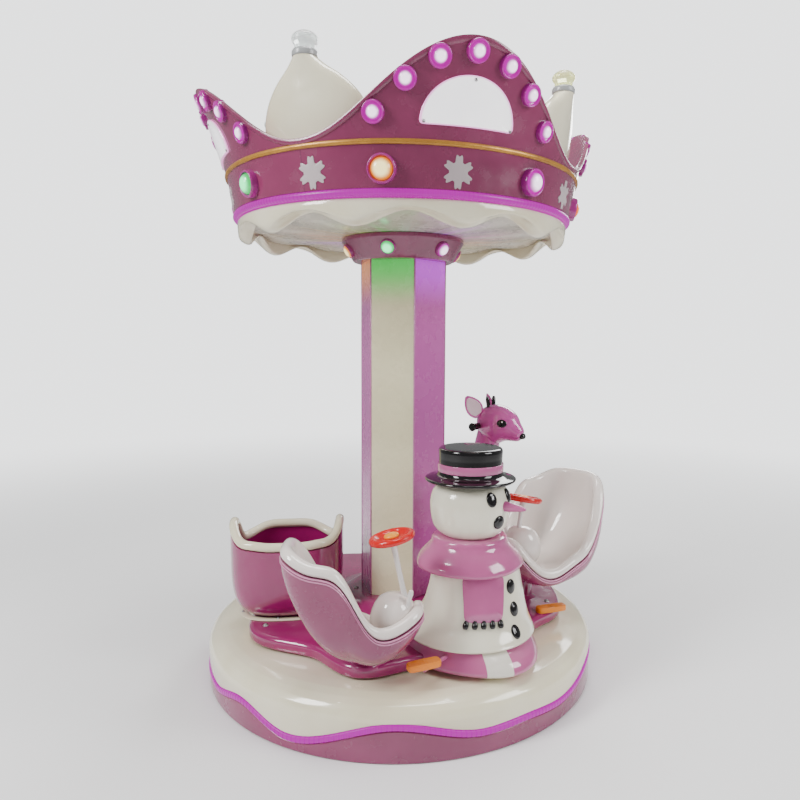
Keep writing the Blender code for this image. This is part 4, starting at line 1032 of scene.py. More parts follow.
peak_rises = np.linspace(0.0, PEAK_HEIGHT, 40)[:, None]
peak_turns = turns(72)
peak_middle, peak_wide, peak_deep = (eased(PEAK_SECTIONS[:, 0], PEAK_SECTIONS[:, column], peak_rises)
                                     for column in (1, 2, 3))
lumps = 1 + 0.025 * np.sin(3 * peak_turns + 20 * peak_rises) * (1 - peak_rises / PEAK_HEIGHT)
peak_grid = stacked(peak_middle + peak_deep * np.cos(peak_turns) * lumps,
                    peak_wide * np.sin(peak_turns) * lumps, PEAK_FOOT + peak_rises)
peak_cap = peak_grid[-1:]
cap_middle = peak_cap.mean(axis=1, keepdims=True)
peak_cap = cap_middle + (peak_cap - cap_middle) * 0.93 + np.array((0, 0, 0.0003))
peaks = [placed(np.concatenate([peak_grid, peak_cap]), 0, 0, 0, azimuth) for azimuth in PEAK_AZIMUTHS]
fitted(lofted("snow_peaks", peaks), snow_gelcoat, "snow_white",
       "snow_peak_1", "snow_peak_2", "snow_peak_3", "snow_peak_4")


# Peak bulbs: a grey plastic collar screwed on each peak's top and a clear globe with a lit core, yellow
# on the right-hand peak and cool white on the rest.
BULB_FOOT = PEAK_FOOT + PEAK_HEIGHT
COLLAR_SECTION = [(0.020, 0.0003), (0.0335, 0.0003), (0.0345, 0.004), (0.0345, 0.013), (0.031, 0.019),
                  (0.020, 0.020)]
GLOBE_NECK = 0.0265
GLOBE_RADIUS = 0.0345


def globe_glass(name, colour):
    """Clear globe: slightly streaky glass whose glow is strongest above the collar and fades with height."""
    material, tree, shader = blank_finish(name)
    place = own_place(tree)
    core = ranged(tree, part_of(tree, place, "Z"), BULB_FOOT + 0.020, BULB_FOOT + 0.062, 1.0, 0.15)
    streak = noise(tree, place, 60.0, 2.0)
    wired(shader, {"Base Color": mixed(tree, streak, (0.90, 0.92, 0.88, 1), colour),
                   "Emission Color": mixed(tree, core, (0.02, 0.02, 0.02, 1), colour),
                   "Roughness": ranged(tree, streak, 0.3, 0.7, 0.03, 0.10),
                   "Emission Strength": 0.55, "Transmission Weight": 0.55, "IOR": 1.45})
    return material


collar_grey = gelcoat("collar_grey", (0.36, 0.37, 0.37, 1), (0.27, 0.28, 0.28, 1), low=0.25, high=0.42,
                      coat=0.2)
bulb_places = polar(0.540, np.radians(PEAK_AZIMUTHS), BULB_FOOT)[:, None, None, :]
collar_rows = filleted(hoops(COLLAR_SECTION, CUP_TURNS), 0.002, closed=False)
fitted(lofted("bulb_collars", collar_rows + bulb_places), collar_grey, "bulb",
       "peak_bulb_1", "peak_bulb_2", "peak_bulb_3", "peak_bulb_4")
globe_section = [(GLOBE_NECK, 0.0195)]
for t in np.radians(np.linspace(0, 172, 22)[6:]):
    across = GLOBE_RADIUS * np.sin(t) if t > 0.9 else GLOBE_NECK + 0.0005 * t
    globe_section.append((across, 0.046 - 0.0215 * np.cos(t)))
globes = hoops(globe_section, CUP_TURNS) + bulb_places
fitted(lofted("yellow_globe", globes[1]), globe_glass("yellow_globe", (0.93, 0.95, 0.35, 1)), "bulb")
fitted(lofted("clear_globes", globes[[0, 2, 3]]), globe_glass("clear_globe", (0.80, 0.86, 0.86, 1)), "bulb")


# Slipper seats: a rose outer shell and, inside it, a white liner whose wide rim rolls over the shell's
# edge. The rider's right has a high shoulder, the left a low entry, and the toe curls up.
SEAT_RIM_RIGHT = np.array([(-1.0, 0.556), (-0.93, 0.553), (-0.62, 0.524), (-0.12, 0.502), (0.30, 0.352),
                           (0.48, 0.347), (1.0, 0.386)])
SEAT_RIM_LEFT = np.array([(-1.0, 0.556), (-0.93, 0.545), (-0.25, 0.335), (0.10, 0.316), (0.85, 0.322),
                          (1.0, 0.386)])
SEAT_SHELL = 0.0155
SEAT_BEAD = 0.016
SEAT_GAP = 0.0005
SEAT_ROLL = (-86, -70, -50, -30, -12, 4, 22, 40, 58, 76, 94, 112, 130, 150, 172)
liner_white = gelcoat("liner_white", (0.86, 0.79, 0.74, 1), (0.76, 0.67, 0.63, 1), low=0.07, high=0.22,
                      coat=0.8, bump=0.04, dust=0.05)


def squared(angles, squareness):
    """Superellipse: the circle's point divided by (|cos|^n + |sin|^n)^(1/n)."""
    reach = (np.abs(np.cos(angles)) ** squareness + np.abs(np.sin(angles)) ** squareness) ** (-1 / squareness)
    return np.cos(angles) * reach, np.sin(angles) * reach


def seat_rim(forward, left):
    """Rim height by how far forward a point is: one table on the right, one on the left, blended over
    the middle, then softened round the outline."""
    blend = np.clip(0.5 + left * 5.0, 0, 1)
    right_side = eased(*SEAT_RIM_RIGHT.T, np.clip(forward, -1, 1))
    left_side = eased(*SEAT_RIM_LEFT.T, np.clip(forward, -1, 1))
    return softened(right_side * (1 - blend) + left_side * blend, 16)


def seat_shape(spot):
    """Measures of one slipper's bowl. Its fullness falls by 0.8 from the middle to the toe and heel."""
    return {"length": spot["length"], "width": spot["width"], "narrowing": 0.28, "floor": SEAT_FLOOR,
            "squareness": 3.2, "keel": spot["keel"], "rim": seat_rim, "turns": turns(144),
            "fullness": spot["fullness"], "slimming": 0.8}


def outlined(shape):
    """Outline of a bowl seen from above, in shares of its half length and half width, and its rim's
    height. The width narrows towards the toe by a share of forward^1.5."""
    forward, left = squared(shape["turns"], shape["squareness"])
    taper = 1 - shape["narrowing"] * np.maximum(forward, 0.0) ** 1.5
    return forward, left * taper, shape["rim"](forward, left)


def bowl(shape, inset, shares, drop):
    """Rows of a bowl from its keel to a drop below its rim. A row's reach is sin(share 90)^(2/p), its rise
    is 1 - cos(share 90)^(2/p), with p the fullness, and the keel lies off the middle."""
    forward, side_way, level = outlined(shape)
    power = shape["fullness"] - shape["slimming"] * forward * forward
    share = shares[:, None] * np.pi / 2
    out = np.sin(share) ** (2 / power)
    rise = 1 - np.cos(share) ** (2 / power)
    low = shape["floor"] + inset
    return stacked((shape["length"] - inset) * forward * out + shape["keel"][0] * (1 - out),
                   (shape["width"] - inset) * side_way * out + shape["keel"][1] * (1 - out),
                   low + (level - drop - low) * rise)


def rolled_edge(shape, radius, degrees, outset=0.0):
    """Rows round the rim's roll: part of a circle carried along the bowl's outline."""
    forward, side_way, level = outlined(shape)
    bend = np.radians(np.array(degrees, float))[:, None]
    inset = radius - radius * np.cos(bend) - outset
    return stacked((shape["length"] - inset) * forward, (shape["width"] - inset) * side_way,
                   level + radius * np.sin(bend))


for side, spot in SEATS.items():
    shape = seat_shape(spot)
    outer, inner = (bowl(shape, inset, np.linspace(0.06, 1.0, 24), SEAT_BEAD + SEAT_GAP)
                    for inset in (0.0, SEAT_SHELL))
    shell = placed(np.concatenate([outer, inner[::-1]]), *spot["where"])
    fitted(lofted("seat_shell_skin_" + side, shell), rose_gelcoat, "rose", "seat_shell_" + side)
    under = bowl(shape, SEAT_BEAD + SEAT_GAP, np.linspace(0.06, 0.97, 20), SEAT_BEAD)
    roll = rolled_edge(shape, SEAT_BEAD, SEAT_ROLL)
    over = bowl(shape, 2 * SEAT_BEAD, np.linspace(0.97, 0.06, 24), 0.0)
    liner = placed(np.concatenate([under, roll, over]), *spot["where"])
    fitted(lofted("seat_liner_skin_" + side, liner), liner_white, "snow_white", "seat_liner_" + side)


# Seat beads: two thin light pink piping lines under each white rim, soft extrusions pressed into grooves
# of the shell's edge.
BEAD_DROPS = (0.0166, 0.0236)
BEAD_RADIUS = 0.0022
BEAD_OUTSET = -0.0004
bead_pink = gelcoat("bead_pink", (0.66, 0.26, 0.44, 1), (0.56, 0.19, 0.35, 1), low=0.12, high=0.28)


def rim_beads(shape):
    """Closed tubes that follow the bowl's outline at fixed drops below its rim."""
    forward, side_way, level = outlined(shape)
    bend = turns(8)[:, None]
    outset = BEAD_OUTSET + BEAD_RADIUS * np.cos(bend)
    return np.array([stacked((shape["length"] + outset) * forward, (shape["width"] + outset) * side_way,
                             level - drop + BEAD_RADIUS * np.sin(bend)) for drop in BEAD_DROPS])


for side, spot in SEATS.items():
    beads = placed(rim_beads(seat_shape(spot)), *spot["where"])
    fitted(lofted("seat_beads_" + side, beads, wrap=True), bead_pink, "rose")


# Seat consoles: in each seat's toe a white moulded hump that flares into the liner, with a swollen cowl
# towards the rider, a post for the steering wheel and a short lever beside it.
WHEEL_AHEAD = 0.103
WHEEL_TILT = np.radians(12.0)
POST_FOOT = 0.374
CONSOLE_PROFILE = [(0.028, 0.292), (0.040, 0.303), (0.0505, 0.319), (0.0575, 0.340), (0.0590, 0.362),
                   (0.0565, 0.382), (0.0500, 0.400), (0.0395, 0.4145), (0.0270, 0.4225), (0.0140, 0.4262),
                   (0.0050, 0.4270)]
POST_RADII = (0.0125, 0.0125, 0.0080, 0.0074, 0.0074, 0.0074, 0.0074, 0.0084, 0.0098)
LEVER_RADII = (0.008, 0.0062, 0.006, 0.006, 0.006, 0.006, 0.0062, 0.0072, 0.0056)
post_white = gelcoat("post_white", (0.80, 0.77, 0.74, 1), (0.70, 0.66, 0.64, 1), low=0.10, high=0.25,
                     coat=0.6)


def rod(start, end, radii, columns=16):
    """Round rod between two points, with its radii given at even steps along it."""
    start, end = np.array(start, float), np.array(end, float)
    aim = unit(end - start)
    helper = np.array((1.0, 0, 0)) if abs(aim[2]) > 0.9 else np.array((0, 0, 1.0))
    across = unit(np.cross(helper, aim))
    along = np.cross(aim, across)
    a = turns(columns)[None, :, None]
    steps = np.linspace(0, 1, len(radii))[:, None, None]
    ring = np.cos(a) * across + np.sin(a) * along
    return start + (end - start) * steps + np.array(radii)[:, None, None] * ring


def in_toe(points, spot):
    """Points of a seat's toe: moved ahead by the seat's reach, then into the seat's place."""
    return placed(points + np.array((spot["reach"], 0, 0)), *spot["where"])


console_turns = turns(56)
wheel_axis = np.array((-np.sin(WHEEL_TILT), 0, np.cos(WHEEL_TILT)))
for side, spot in SEATS.items():
    hump = hoops(CONSOLE_PROFILE, console_turns)
    swell = np.maximum(np.cos(console_turns), 0) ** 2 * np.exp(-((hump[..., 2] - 0.382) / 0.024) ** 2)
    hump[..., 0] = hump[..., 0] * (1 + 0.14 * swell) + 0.100 + 0.10 * (hump[..., 2] - 0.33)
    hump[..., 1] *= 1.06
    fitted(lofted("seat_console_" + side, in_toe(hump, spot)), liner_white, "snow_white")
    hub = np.array((WHEEL_AHEAD, 0, spot["wheel_level"]))
    post = rod(hub - wheel_axis * (spot["wheel_level"] - POST_FOOT), hub - wheel_axis * 0.0062, POST_RADII)
    lever = rod((0.138, -0.030, 0.372), (0.156, -0.036, 0.445), LEVER_RADII)
    fitted(lofted("seat_posts_" + side, in_toe(np.array([post, lever]), spot)), post_white, "snow_white")


# Steering wheels: a red plastic rim on a dished web with four ribs, and an orange hub cap. Each wheel
# spins freely on its post.
WHEEL_RADIUS = 0.054
WHEEL_TUBE = 0.0095
CAP_SECTION = [(0.004, 0.0015), (0.0205, 0.0015), (0.0212, 0.0050), (0.0190, 0.0090), (0.0120, 0.0118),
               (0.004, 0.0126)]
wheel_red = gelcoat("wheel_red", (0.68, 0.003, 0.002, 1), (0.52, 0.002, 0.002, 1), low=0.18, coat=0.15,
                    scuff_level=0.1, dust=0.01)
cap_orange = gelcoat("cap_orange", (0.95, 0.36, 0.01, 1), (0.90, 0.24, 0.01, 1), low=0.2, high=0.4, coat=0.2,
                     dust=0.04)
wheel_turns = turns(72)
rib = np.clip(np.cos(4 * wheel_turns) * 2.2 - 1.1, 0, 1)
wheel_section = [(0.010, -0.0042), (0.018, -0.0042), (0.040, -0.0036)]
wheel_section += [(WHEEL_RADIUS + WHEEL_TUBE * np.cos(bend), WHEEL_TUBE * np.sin(bend))
                  for bend in np.radians(np.linspace(-150, 150, 15))]
wheel_section += [(0.040, -0.0010 + 0.0022 * rib), (0.030, -0.0016 + 0.0026 * rib), (0.020, 0.0012),
                  (0.010, 0.0020)]
wheel_grid = filleted(hoops(wheel_section, wheel_turns), 0.0010, steps=3, closed=False)
cap_grid = filleted(hoops(CAP_SECTION, turns(36)), 0.0015, closed=False)
tilted = np.array([(np.cos(WHEEL_TILT), 0, np.sin(WHEEL_TILT)), (0, 1, 0), wheel_axis])
for side, spot in SEATS.items():
    hub = np.array((WHEEL_AHEAD, 0, spot["wheel_level"]))
    fitted(lofted("wheel_" + side, in_toe(wheel_grid @ tilted + hub, spot)), wheel_red, "red",
           "steering_wheel_" + side, body=side + "_wheel")
    fitted(lofted("wheel_cap_" + side, in_toe(cap_grid @ tilted + hub, spot)), cap_orange, "orange",
           body=side + "_wheel")


# Tub seat: a round magenta tub with a horn at each end and a white rolled rim, moulded separately and
# pushed over its edge. It stands in a thin white ring screwed to the star.
TUB_WHERE = (-0.335, -0.208, 0.0, 21.0)
TUB_RIM_NEAR = np.array([(0.0, 0.458), (0.55, 0.462), (0.92, 0.484), (1.0, 0.512)])
TUB_RIM_FAR = np.array([(0.0, 0.466), (0.5, 0.462), (0.80, 0.440), (0.93, 0.446), (1.0, 0.512)])
TUB_BEAD = 0.014
TUB_WALL = 0.012
TUB_GAP = 0.0008
TUB_SQUARENESS = 2.6
FOOT_RING = ((0.030, 0.0004), (0.002, 0.0004), (0.000, 0.0030), (0.004, 0.0058), (0.016, 0.0062),
             (0.024, 0.0050))


def tub_rim(forward, left):
    """Rim height of the tub by its distance from the middle: one table for each side."""
    far, near = (eased(*table.T, np.clip(np.abs(forward), 0, 1)) for table in (TUB_RIM_FAR, TUB_RIM_NEAR))
    return softened(np.where(left > 0, far, near), 18)


tub_shape = {"length": 0.182, "width": 0.142, "narrowing": 0.0, "floor": STAR_TOP + 0.0003,
             "squareness": TUB_SQUARENESS, "keel": (0.0, 0.0), "rim": tub_rim, "turns": turns(192),
             "fullness": 5.0, "slimming": 0.0}
tub_rising = np.concatenate([np.linspace(0.08, 0.8, 12), np.linspace(0.83, 1.0, 10)])
tub_outer, tub_inner = (bowl(tub_shape, inset, tub_rising, TUB_BEAD + TUB_GAP) for inset in (0.0, TUB_WALL))
fitted(lofted("tub_skin", placed(np.concatenate([tub_outer, tub_inner[::-1]]), *TUB_WHERE)), magenta_gelcoat,
       "magenta", "tub_shell")
tub_roll = rolled_edge(tub_shape, TUB_BEAD, range(-90, 270, 24), TUB_BEAD * 0.2)
fitted(lofted("tub_roll", placed(tub_roll, *TUB_WHERE), wrap=True), snow_gelcoat, "snow_white", "tub_rim")
ring_x, ring_y = squared(tub_shape["turns"], TUB_SQUARENESS)
foot_ring = np.array([stacked((0.158 - inset) * ring_x, (0.122 - inset) * ring_y, STAR_TOP + height)
                      for inset, height in FOOT_RING])
fitted(lofted("tub_foot_ring", placed(foot_ring, *TUB_WHERE), wrap=True), snow_gelcoat, "snow_white")
screw_x, screw_y = squared(turns(6, 20.0), TUB_SQUARENESS)
foot_screws = placed(stacked(0.147 * screw_x, 0.111 * screw_y, STAR_TOP + 0.0060), *TUB_WHERE)
fitted(dome_screws("tub_screws", foot_screws, [(0, 0, 1)] * 6, 0.0042), steel, "steel")


# Snowman foot: a low pink skirt round the figure, with a bulge outwards and one white stripe, and the
# arm that carries the front footrest. Glass fibre, bonded to the star plate.
SNOWMAN_AXIS = np.array((0.285, -0.272, 0.0))
PLATE_TOP = 0.182
BULGE_AZIMUTH = np.radians(-42.0)
STRIPE_AZIMUTH = np.radians(-57.0)


def stripe_pattern(tree, base):
    """A white stripe of even width that runs down the foot along one azimuth: distance from the line
    through the figure's axis."""
    centred = tree.nodes.new("ShaderNodeMapping")
    centred.vector_type = "TEXTURE"
    wired(centred, {"Vector": own_place(tree), "Location": SNOWMAN_AXIS, "Rotation": (0, 0, STRIPE_AZIMUTH)})
    off_line = calculated(tree, "ABSOLUTE", part_of(tree, centred.outputs["Vector"], "Y"))
    near = ranged(tree, off_line, 0.0365, 0.0380, 1.0, 0.0)
    ahead = calculated(tree, "GREATER_THAN", part_of(tree, centred.outputs["Vector"], "X"), 0.0)
    return mixed(tree, product(tree, near, ahead), base, (0.74, 0.70, 0.62, 1))


figure_angles = turns(160)
bulge = 0.034 * np.maximum(np.cos(figure_angles - BULGE_AZIMUTH), 0.0) ** 6
foot_profile = [
    (0.150, PLATE_TOP + 0.0003), (0.199 + bulge, PLATE_TOP + 0.0003), (0.205 + bulge, PLATE_TOP + 0.0075),
    (0.2045 + bulge, PLATE_TOP + 0.014), (0.200 + bulge, 0.207), (0.192 + 0.96 * bulge, 0.2195),
    (0.188 + 0.5 * bulge, 0.230), (0.186, 0.239), (0.184, 0.2430), (0.150, 0.2430)]
foot_pink = gelcoat("foot_pink", (0.50, 0.10, 0.27, 1), (0.46, 0.12, 0.26, 1), low=0.08, high=0.24, coat=0.8,
                    pattern=stripe_pattern)
foot_grid = filleted(hoops(foot_profile, figure_angles), 0.004, closed=False) + SNOWMAN_AXIS
fitted(lofted("snowman_foot_skirt", foot_grid), foot_pink, "pink", "snowman_foot")
arm_rod = rod((0.262, -0.440, 0.2247), (0.2105, -0.5455, 0.2247), (0.0062, 0.0068, 0.0068, 0.0068, 0.0062))
fitted(lofted("footrest_arm", arm_rod), foot_pink, "pink")


# Snowman body: a white glossy bell that leans a little outwards, laid up in two halves and bonded to
# the foot.
BODY_LOW = 0.2435
BODY_TOP = 0.436
BODY_SECTIONS = np.array([
    (BODY_LOW, 0.000, 0.196), (0.250, 0.000, 0.199), (0.262, 0.003, 0.190), (0.286, 0.013, 0.169),
    (0.325, 0.018, 0.153), (0.369, 0.020, 0.143), (0.420, 0.020, 0.133), (BODY_TOP, 0.020, 0.130)])
BODY_LEAN = np.radians(12.6)
lean_way = np.array((np.cos(BODY_LEAN), np.sin(BODY_LEAN), 0.0))
body_levels = np.linspace(BODY_LOW, BODY_TOP, 40)
body_offsets, body_radii = (np.interp(body_levels, BODY_SECTIONS[:, 0], BODY_SECTIONS[:, column])
                            for column in (1, 2))
for measure in (body_offsets, body_radii):
    measure[2:-2] = np.convolve(measure, np.ones(5) / 5, "valid")
body_grid = hoops(zip(body_radii, body_levels), figure_angles) + body_offsets[:, None, None] * lean_way
figure_white = gelcoat("figure_white", (0.88, 0.85, 0.70, 1), (0.78, 0.73, 0.57, 1), low=0.06, high=0.2,
                       coat=0.9, bump=0.04, dust=0.04)
fitted(lofted("snowman_bell", body_grid + SNOWMAN_AXIS), figure_white, "snow_white", "snowman_body")


# Snowman scarf: a pink collar that flares over the body with a soft roll at the neck, and its tail, a
# raised band down the front with black tassels. Moulded with the body and painted.
SCARF_PROFILE = [(0.110, 0.4363), (0.146, 0.4363), (0.157, 0.4400), (0.161, 0.4480), (0.157, 0.4590),
                 (0.148, 0.4740), (0.136, 0.4880), (0.124, 0.5000), (0.1165, 0.5100), (0.1150, 0.5170),
                 (0.1135, 0.5240), (0.106, 0.5300), (0.096, 0.5313), (0.060, 0.5313)]
TAIL_AZIMUTH = -71.0
TAIL_HALF = 24.0
TAIL_MIDDLE = 0.3780
TAIL_REACH = 0.0610
TAIL_ROWS = ((0.99, -0.002), (1.0, 0.001), (0.995, 0.0038), (0.97, 0.0050), (0.5, 0.0056), (0.06, 0.0058))
TASSELS = ((-18.0, 0.3135), (-9.0, 0.3145), (0.0, 0.3150), (9.0, 0.3145), (18.0, 0.3135))
TASSEL_RADII = (0.0046, 0.0070, 0.0082, 0.0088, 0.0082, 0.0054)
scarf_pink = gelcoat("scarf_pink", (0.56, 0.125, 0.32, 1), (0.44, 0.085, 0.24, 1), low=0.08, high=0.24,
                     coat=0.8)
hat_black = gelcoat("hat_black", (0.002, 0.0015, 0.002, 1), (0.004, 0.003, 0.004, 1), low=0.05, high=0.16,
                    coat=0.2, bump=0.04, dust=0.01)


def on_body(azimuth, level, proud):
    """Point on the snowman's body by azimuth in degrees and height, standing proud of it."""
    radius = np.interp(level, body_levels, body_radii) + proud
    offset = np.interp(level, body_levels, body_offsets)
    return polar(radius, np.radians(azimuth), level) + np.multiply.outer(offset, lean_way) + SNOWMAN_AXIS


folds = 0.010 * np.sin(5 * figure_angles + 0.7) + 0.006 * np.sin(9 * figure_angles)
scarf_grid = hoops([(radius * (1 + folds * np.clip((0.50 - level) / 0.05, 0, 1)), level)
                    for radius, level in SCARF_PROFILE], figure_angles)
scarf_grid = filleted(scarf_grid, 0.005, closed=False) + SNOWMAN_AXIS
fitted(lofted("snowman_collar", scarf_grid), scarf_pink, "pink", "snowman_scarf")
tail_x, tail_y = squared(turns(96), 9.0)
tail_rows = []
for share, proud in TAIL_ROWS:
    half = TAIL_HALF * (1 - 0.14 * tail_x * share)
    level = TAIL_MIDDLE - TAIL_REACH * tail_x * share
    tail_rows.append(on_body(TAIL_AZIMUTH - half * tail_y * share, level, proud))
fitted(lofted("scarf_tail", tail_rows), scarf_pink, "pink")
tassels = [rod(on_body(TAIL_AZIMUTH + swing, level + 0.007, 0.003),
               on_body(TAIL_AZIMUTH + swing, level - 0.014, 0.004), TASSEL_RADII, 14)
           for swing, level in TASSELS]
fitted(lofted("scarf_tassels", tassels), hat_black, "black")


# Snowman buttons: three oval black buttons down the front, each a dome with a shallow ring, pushed into
# holes of the body.
BUTTON_AZIMUTH = -32.5
BUTTON_LEVELS = np.array([0.401, 0.338, 0.280])
BUTTON_SWINGS = np.array([-1.0, 0.0, -2.5])
BUTTON_SLOPES = np.array([0.12, 0.30, 0.62])
BUTTON_SIZE = (0.0165, 0.0215, 0.0065)


def studs(name, places, aims, wide, high, deep):
    """Oval domes on the places, flat-backed, each square to its aim."""
    t = np.radians(np.linspace(90, 8, 10))
    out = np.concatenate([[0.97, 1.0], np.sin(t)])[:, None]
    up = np.concatenate([[-0.5, -0.2], np.cos(t)])[:, None]
    groove = 1 - 0.16 * np.exp(-((out - 0.62) / 0.10) ** 2)
    a = turns(32)
    dome = stacked(wide * out * np.cos(a), high * out * np.sin(a), deep * (up * groove))
    return lofted(name, on_axes(dome, places, aims))


button_places = on_body(BUTTON_AZIMUTH + BUTTON_SWINGS, BUTTON_LEVELS, 0.0005)
button_aims = polar(1.0, np.radians(BUTTON_AZIMUTH), BUTTON_SLOPES)
fitted(studs("snowman_buttons", button_places, button_aims, *BUTTON_SIZE), hat_black, "black")


# Snowman head: a white glossy ball, flattened where it meets scarf and hat, with moulded eyes, a round
# mouth and a pink carrot nose set in its hole.
HEAD_LOW = 0.5313
HEAD_TOP = 0.690
HEAD_POINTS = np.array([(HEAD_LOW, 0.083), (0.540, 0.094), (0.556, 0.108), (0.574, 0.1145), (0.592, 0.118),
                        (0.611, 0.1198), (0.630, 0.120), (0.650, 0.1165), (0.668, 0.109), (0.680, 0.099),
                        (HEAD_TOP, 0.086)])
EYE_AZIMUTHS = (-48.0, -7.0)
EYE_LEVEL = 0.655
GLINT_SIZE = (0.0032, 0.0040, 0.0014)
GLINT_UP = np.array((0, 0, 0.0065))
NOSE_FACING = -21.0
NOSE_RADII = (0.0158, 0.0158, 0.0156, 0.0150, 0.0140, 0.0128, 0.0116, 0.0104, 0.0092, 0.0080, 0.0066, 0.0044)
head_levels = np.linspace(HEAD_LOW, HEAD_TOP, 36)
head_radii = eased(*HEAD_POINTS.T, head_levels)
head_grid = hoops([(0.05, HEAD_LOW), *zip(head_radii, head_levels), (0.05, HEAD_TOP)], figure_angles)
fitted(lofted("snowman_ball", head_grid + SNOWMAN_AXIS), figure_white, "snow_white", "snowman_head")


def on_head(azimuth, level):
    """Place and aim on the snowman's head by azimuth in degrees and height."""
    below, radius, above = (np.interp(level + step, head_levels, head_radii) for step in (-0.004, 0.0, 0.004))
    angle = np.radians(azimuth)
    return polar(radius, angle, level) + SNOWMAN_AXIS, unit(polar(1.0, angle, -(above - below) / 0.008))


eyes = [on_head(azimuth, EYE_LEVEL) for azimuth in EYE_AZIMUTHS]
eye_places, eye_aims = (np.array(rows) for rows in zip(*eyes))
fitted(studs("snowman_eyes", eye_places, eye_aims, *BUTTON_SIZE), hat_black, "black")
# Eye glints: small white studs on the eyes, painted highlights.
glint_white = gelcoat("glint_white", (0.88, 0.88, 0.86, 1), (0.80, 0.80, 0.78, 1), low=0.1, high=0.2)
fitted(studs("snowman_eye_glints", eye_places + eye_aims * 0.0052 + GLINT_UP, eye_aims, *GLINT_SIZE),
       glint_white, "snow_white")
mouth_place, mouth_aim = on_head(-35.0, 0.586)
fitted(studs("snowman_mouth", [mouth_place], [mouth_aim], 0.0205, 0.0205, 0.0085), hat_black, "black")
nose = placed(rod((0.104, 0, 0.628), (0.184, 0, 0.628), NOSE_RADII, 28), *SNOWMAN_AXIS, NOSE_FACING)
fitted(lofted("snowman_carrot", nose), scarf_pink, "pink", "snowman_nose")


# Top hat: one black, deep gloss moulding with a rolled brim and a crown that widens a little upwards,
# bonded to the head, and a pink band laid round the crown's foot.
HAT_PROFILE = [(0.080, 0.6903), (0.112, 0.6903), (0.129, 0.6915), (0.1350, 0.6945), (0.1365, 0.6985),
               (0.1340, 0.7020), (0.124, 0.7045), (0.110, 0.7075), (0.1010, 0.7115), (0.0965, 0.7180),
               (0.0948, 0.7280), (0.0948, 0.7600), (0.0960, 0.7820), (0.0945, 0.7885), (0.0890, 0.7918),
               (0.060, 0.7920)]
BAND_PROFILE = [(0.0930, 0.7215), (0.0982, 0.7215), (0.0986, 0.7335), (0.0982, 0.7455), (0.0930, 0.7455)]
hat_grid = filleted(hoops(HAT_PROFILE, figure_angles), 0.003, closed=False) + SNOWMAN_AXIS
fitted(lofted("top_hat", hat_grid), hat_black, "black", "snowman_hat")
band_grid = filleted(hoops(BAND_PROFILE, figure_angles), 0.0012) + SNOWMAN_AXIS
fitted(lofted("top_hat_band", band_grid, wrap=True), scarf_pink, "pink", "hat_band")


# Reindeer: a magenta body on its post with tucked legs, a pink neck and head with pale ears, two short
# black antlers, glossy eyes, a black nose and a black handle bar to hold on to.
TORSO_PATH = [(-0.155, 0, 0.415), (-0.135, 0, 0.418), (-0.08, 0, 0.420), (0.0, 0, 0.415), (0.08, 0, 0.418),
              (0.130, 0, 0.422), (0.153, 0, 0.424)]
TORSO_RADII = (0.006, 0.046, 0.078, 0.085, 0.079, 0.048, 0.008)
LEGS = (((0.09, 0.035, 0.39), (0.225, 0.040, 0.300)), ((0.09, -0.035, 0.39), (0.185, -0.040, 0.290)),
        ((-0.10, 0.035, 0.39), (-0.165, 0.038, 0.285)), ((-0.10, -0.035, 0.39), (-0.150, -0.038, 0.285)))
LEG_RADII = (0.026, 0.024, 0.021, 0.018, 0.0165, 0.016, 0.0165, 0.0175, 0.0165)
HOOF_RADII = (0.0130, 0.0172, 0.0182, 0.0190, 0.0192, 0.0165)
NECK_PATH = [(0.100, 0, 0.425), (0.115, 0, 0.495), (0.138, 0, 0.590), (0.160, 0, 0.690), (0.178, 0, 0.765)]
NECK_RADII = (0.066, 0.058, 0.051, 0.050, 0.048)
SKULL_PATH = [(0.121, 0, 0.775), (0.135, 0, 0.777), (0.170, 0, 0.778), (0.214, 0, 0.775), (0.252, 0, 0.766),
              (0.284, 0, 0.750), (0.309, 0, 0.737), (0.318, 0, 0.733)]
SKULL_RADII = (0.010, 0.046, 0.070, 0.077, 0.066, 0.043, 0.0265, 0.009)
NOSE_PATH = [(0.300, 0, 0.738), (0.307, 0, 0.738), (0.316, 0, 0.736), (0.324, 0, 0.731), (0.328, 0, 0.727)]
DEER_NOSE_RADII = (0.004, 0.0115, 0.0140, 0.0105, 0.0035)
ANTLER_RADII = (0.0095, 0.0085, 0.0080, 0.0080, 0.0082, 0.0076, 0.0046)
deer_pink = gelcoat("deer_pink", (0.62, 0.095, 0.40, 1), (0.50, 0.07, 0.31, 1), low=0.08, high=0.24, coat=0.8,
                    dust=0.05)
ear_pale = gelcoat("ear_pale", (0.78, 0.62, 0.68, 1), (0.70, 0.50, 0.58, 1), low=0.12, high=0.3)


def bridged(centres, radii, squash, columns=40):
    """Tube along a path of centres in the x-z plane: each ring is square to the path, its radius eased
    between the given ones and squashed sideways."""
    centres = np.asarray(centres, float)
    steps = np.linspace(0, len(centres) - 1, 8 * (len(centres) - 1) + 1)
    marks = np.arange(len(centres))
    path = np.stack([eased(marks, centres[:, c], steps) for c in (0, 1, 2)], axis=-1)
    radius = eased(marks, np.asarray(radii, float), steps)
    aim = unit(np.gradient(path, axis=0))
    side_way = np.array((0.0, 1.0, 0.0))
    up_way = np.cross(aim, side_way)
    a = turns(columns)[None, :, None]
    ring_shape = np.cos(a) * up_way[:, None] + squash * np.sin(a) * side_way
    return path[:, None] + np.maximum(radius, 0.002)[:, None, None] * ring_shape


def deer_part(name, grids, material, slot, *stands_for):
    """Fits one part of the reindeer, laid out about its post with +X ahead."""
    fitted(lofted(name, placed(np.array(grids), *DEER_WHERE)), material, slot, *stands_for)


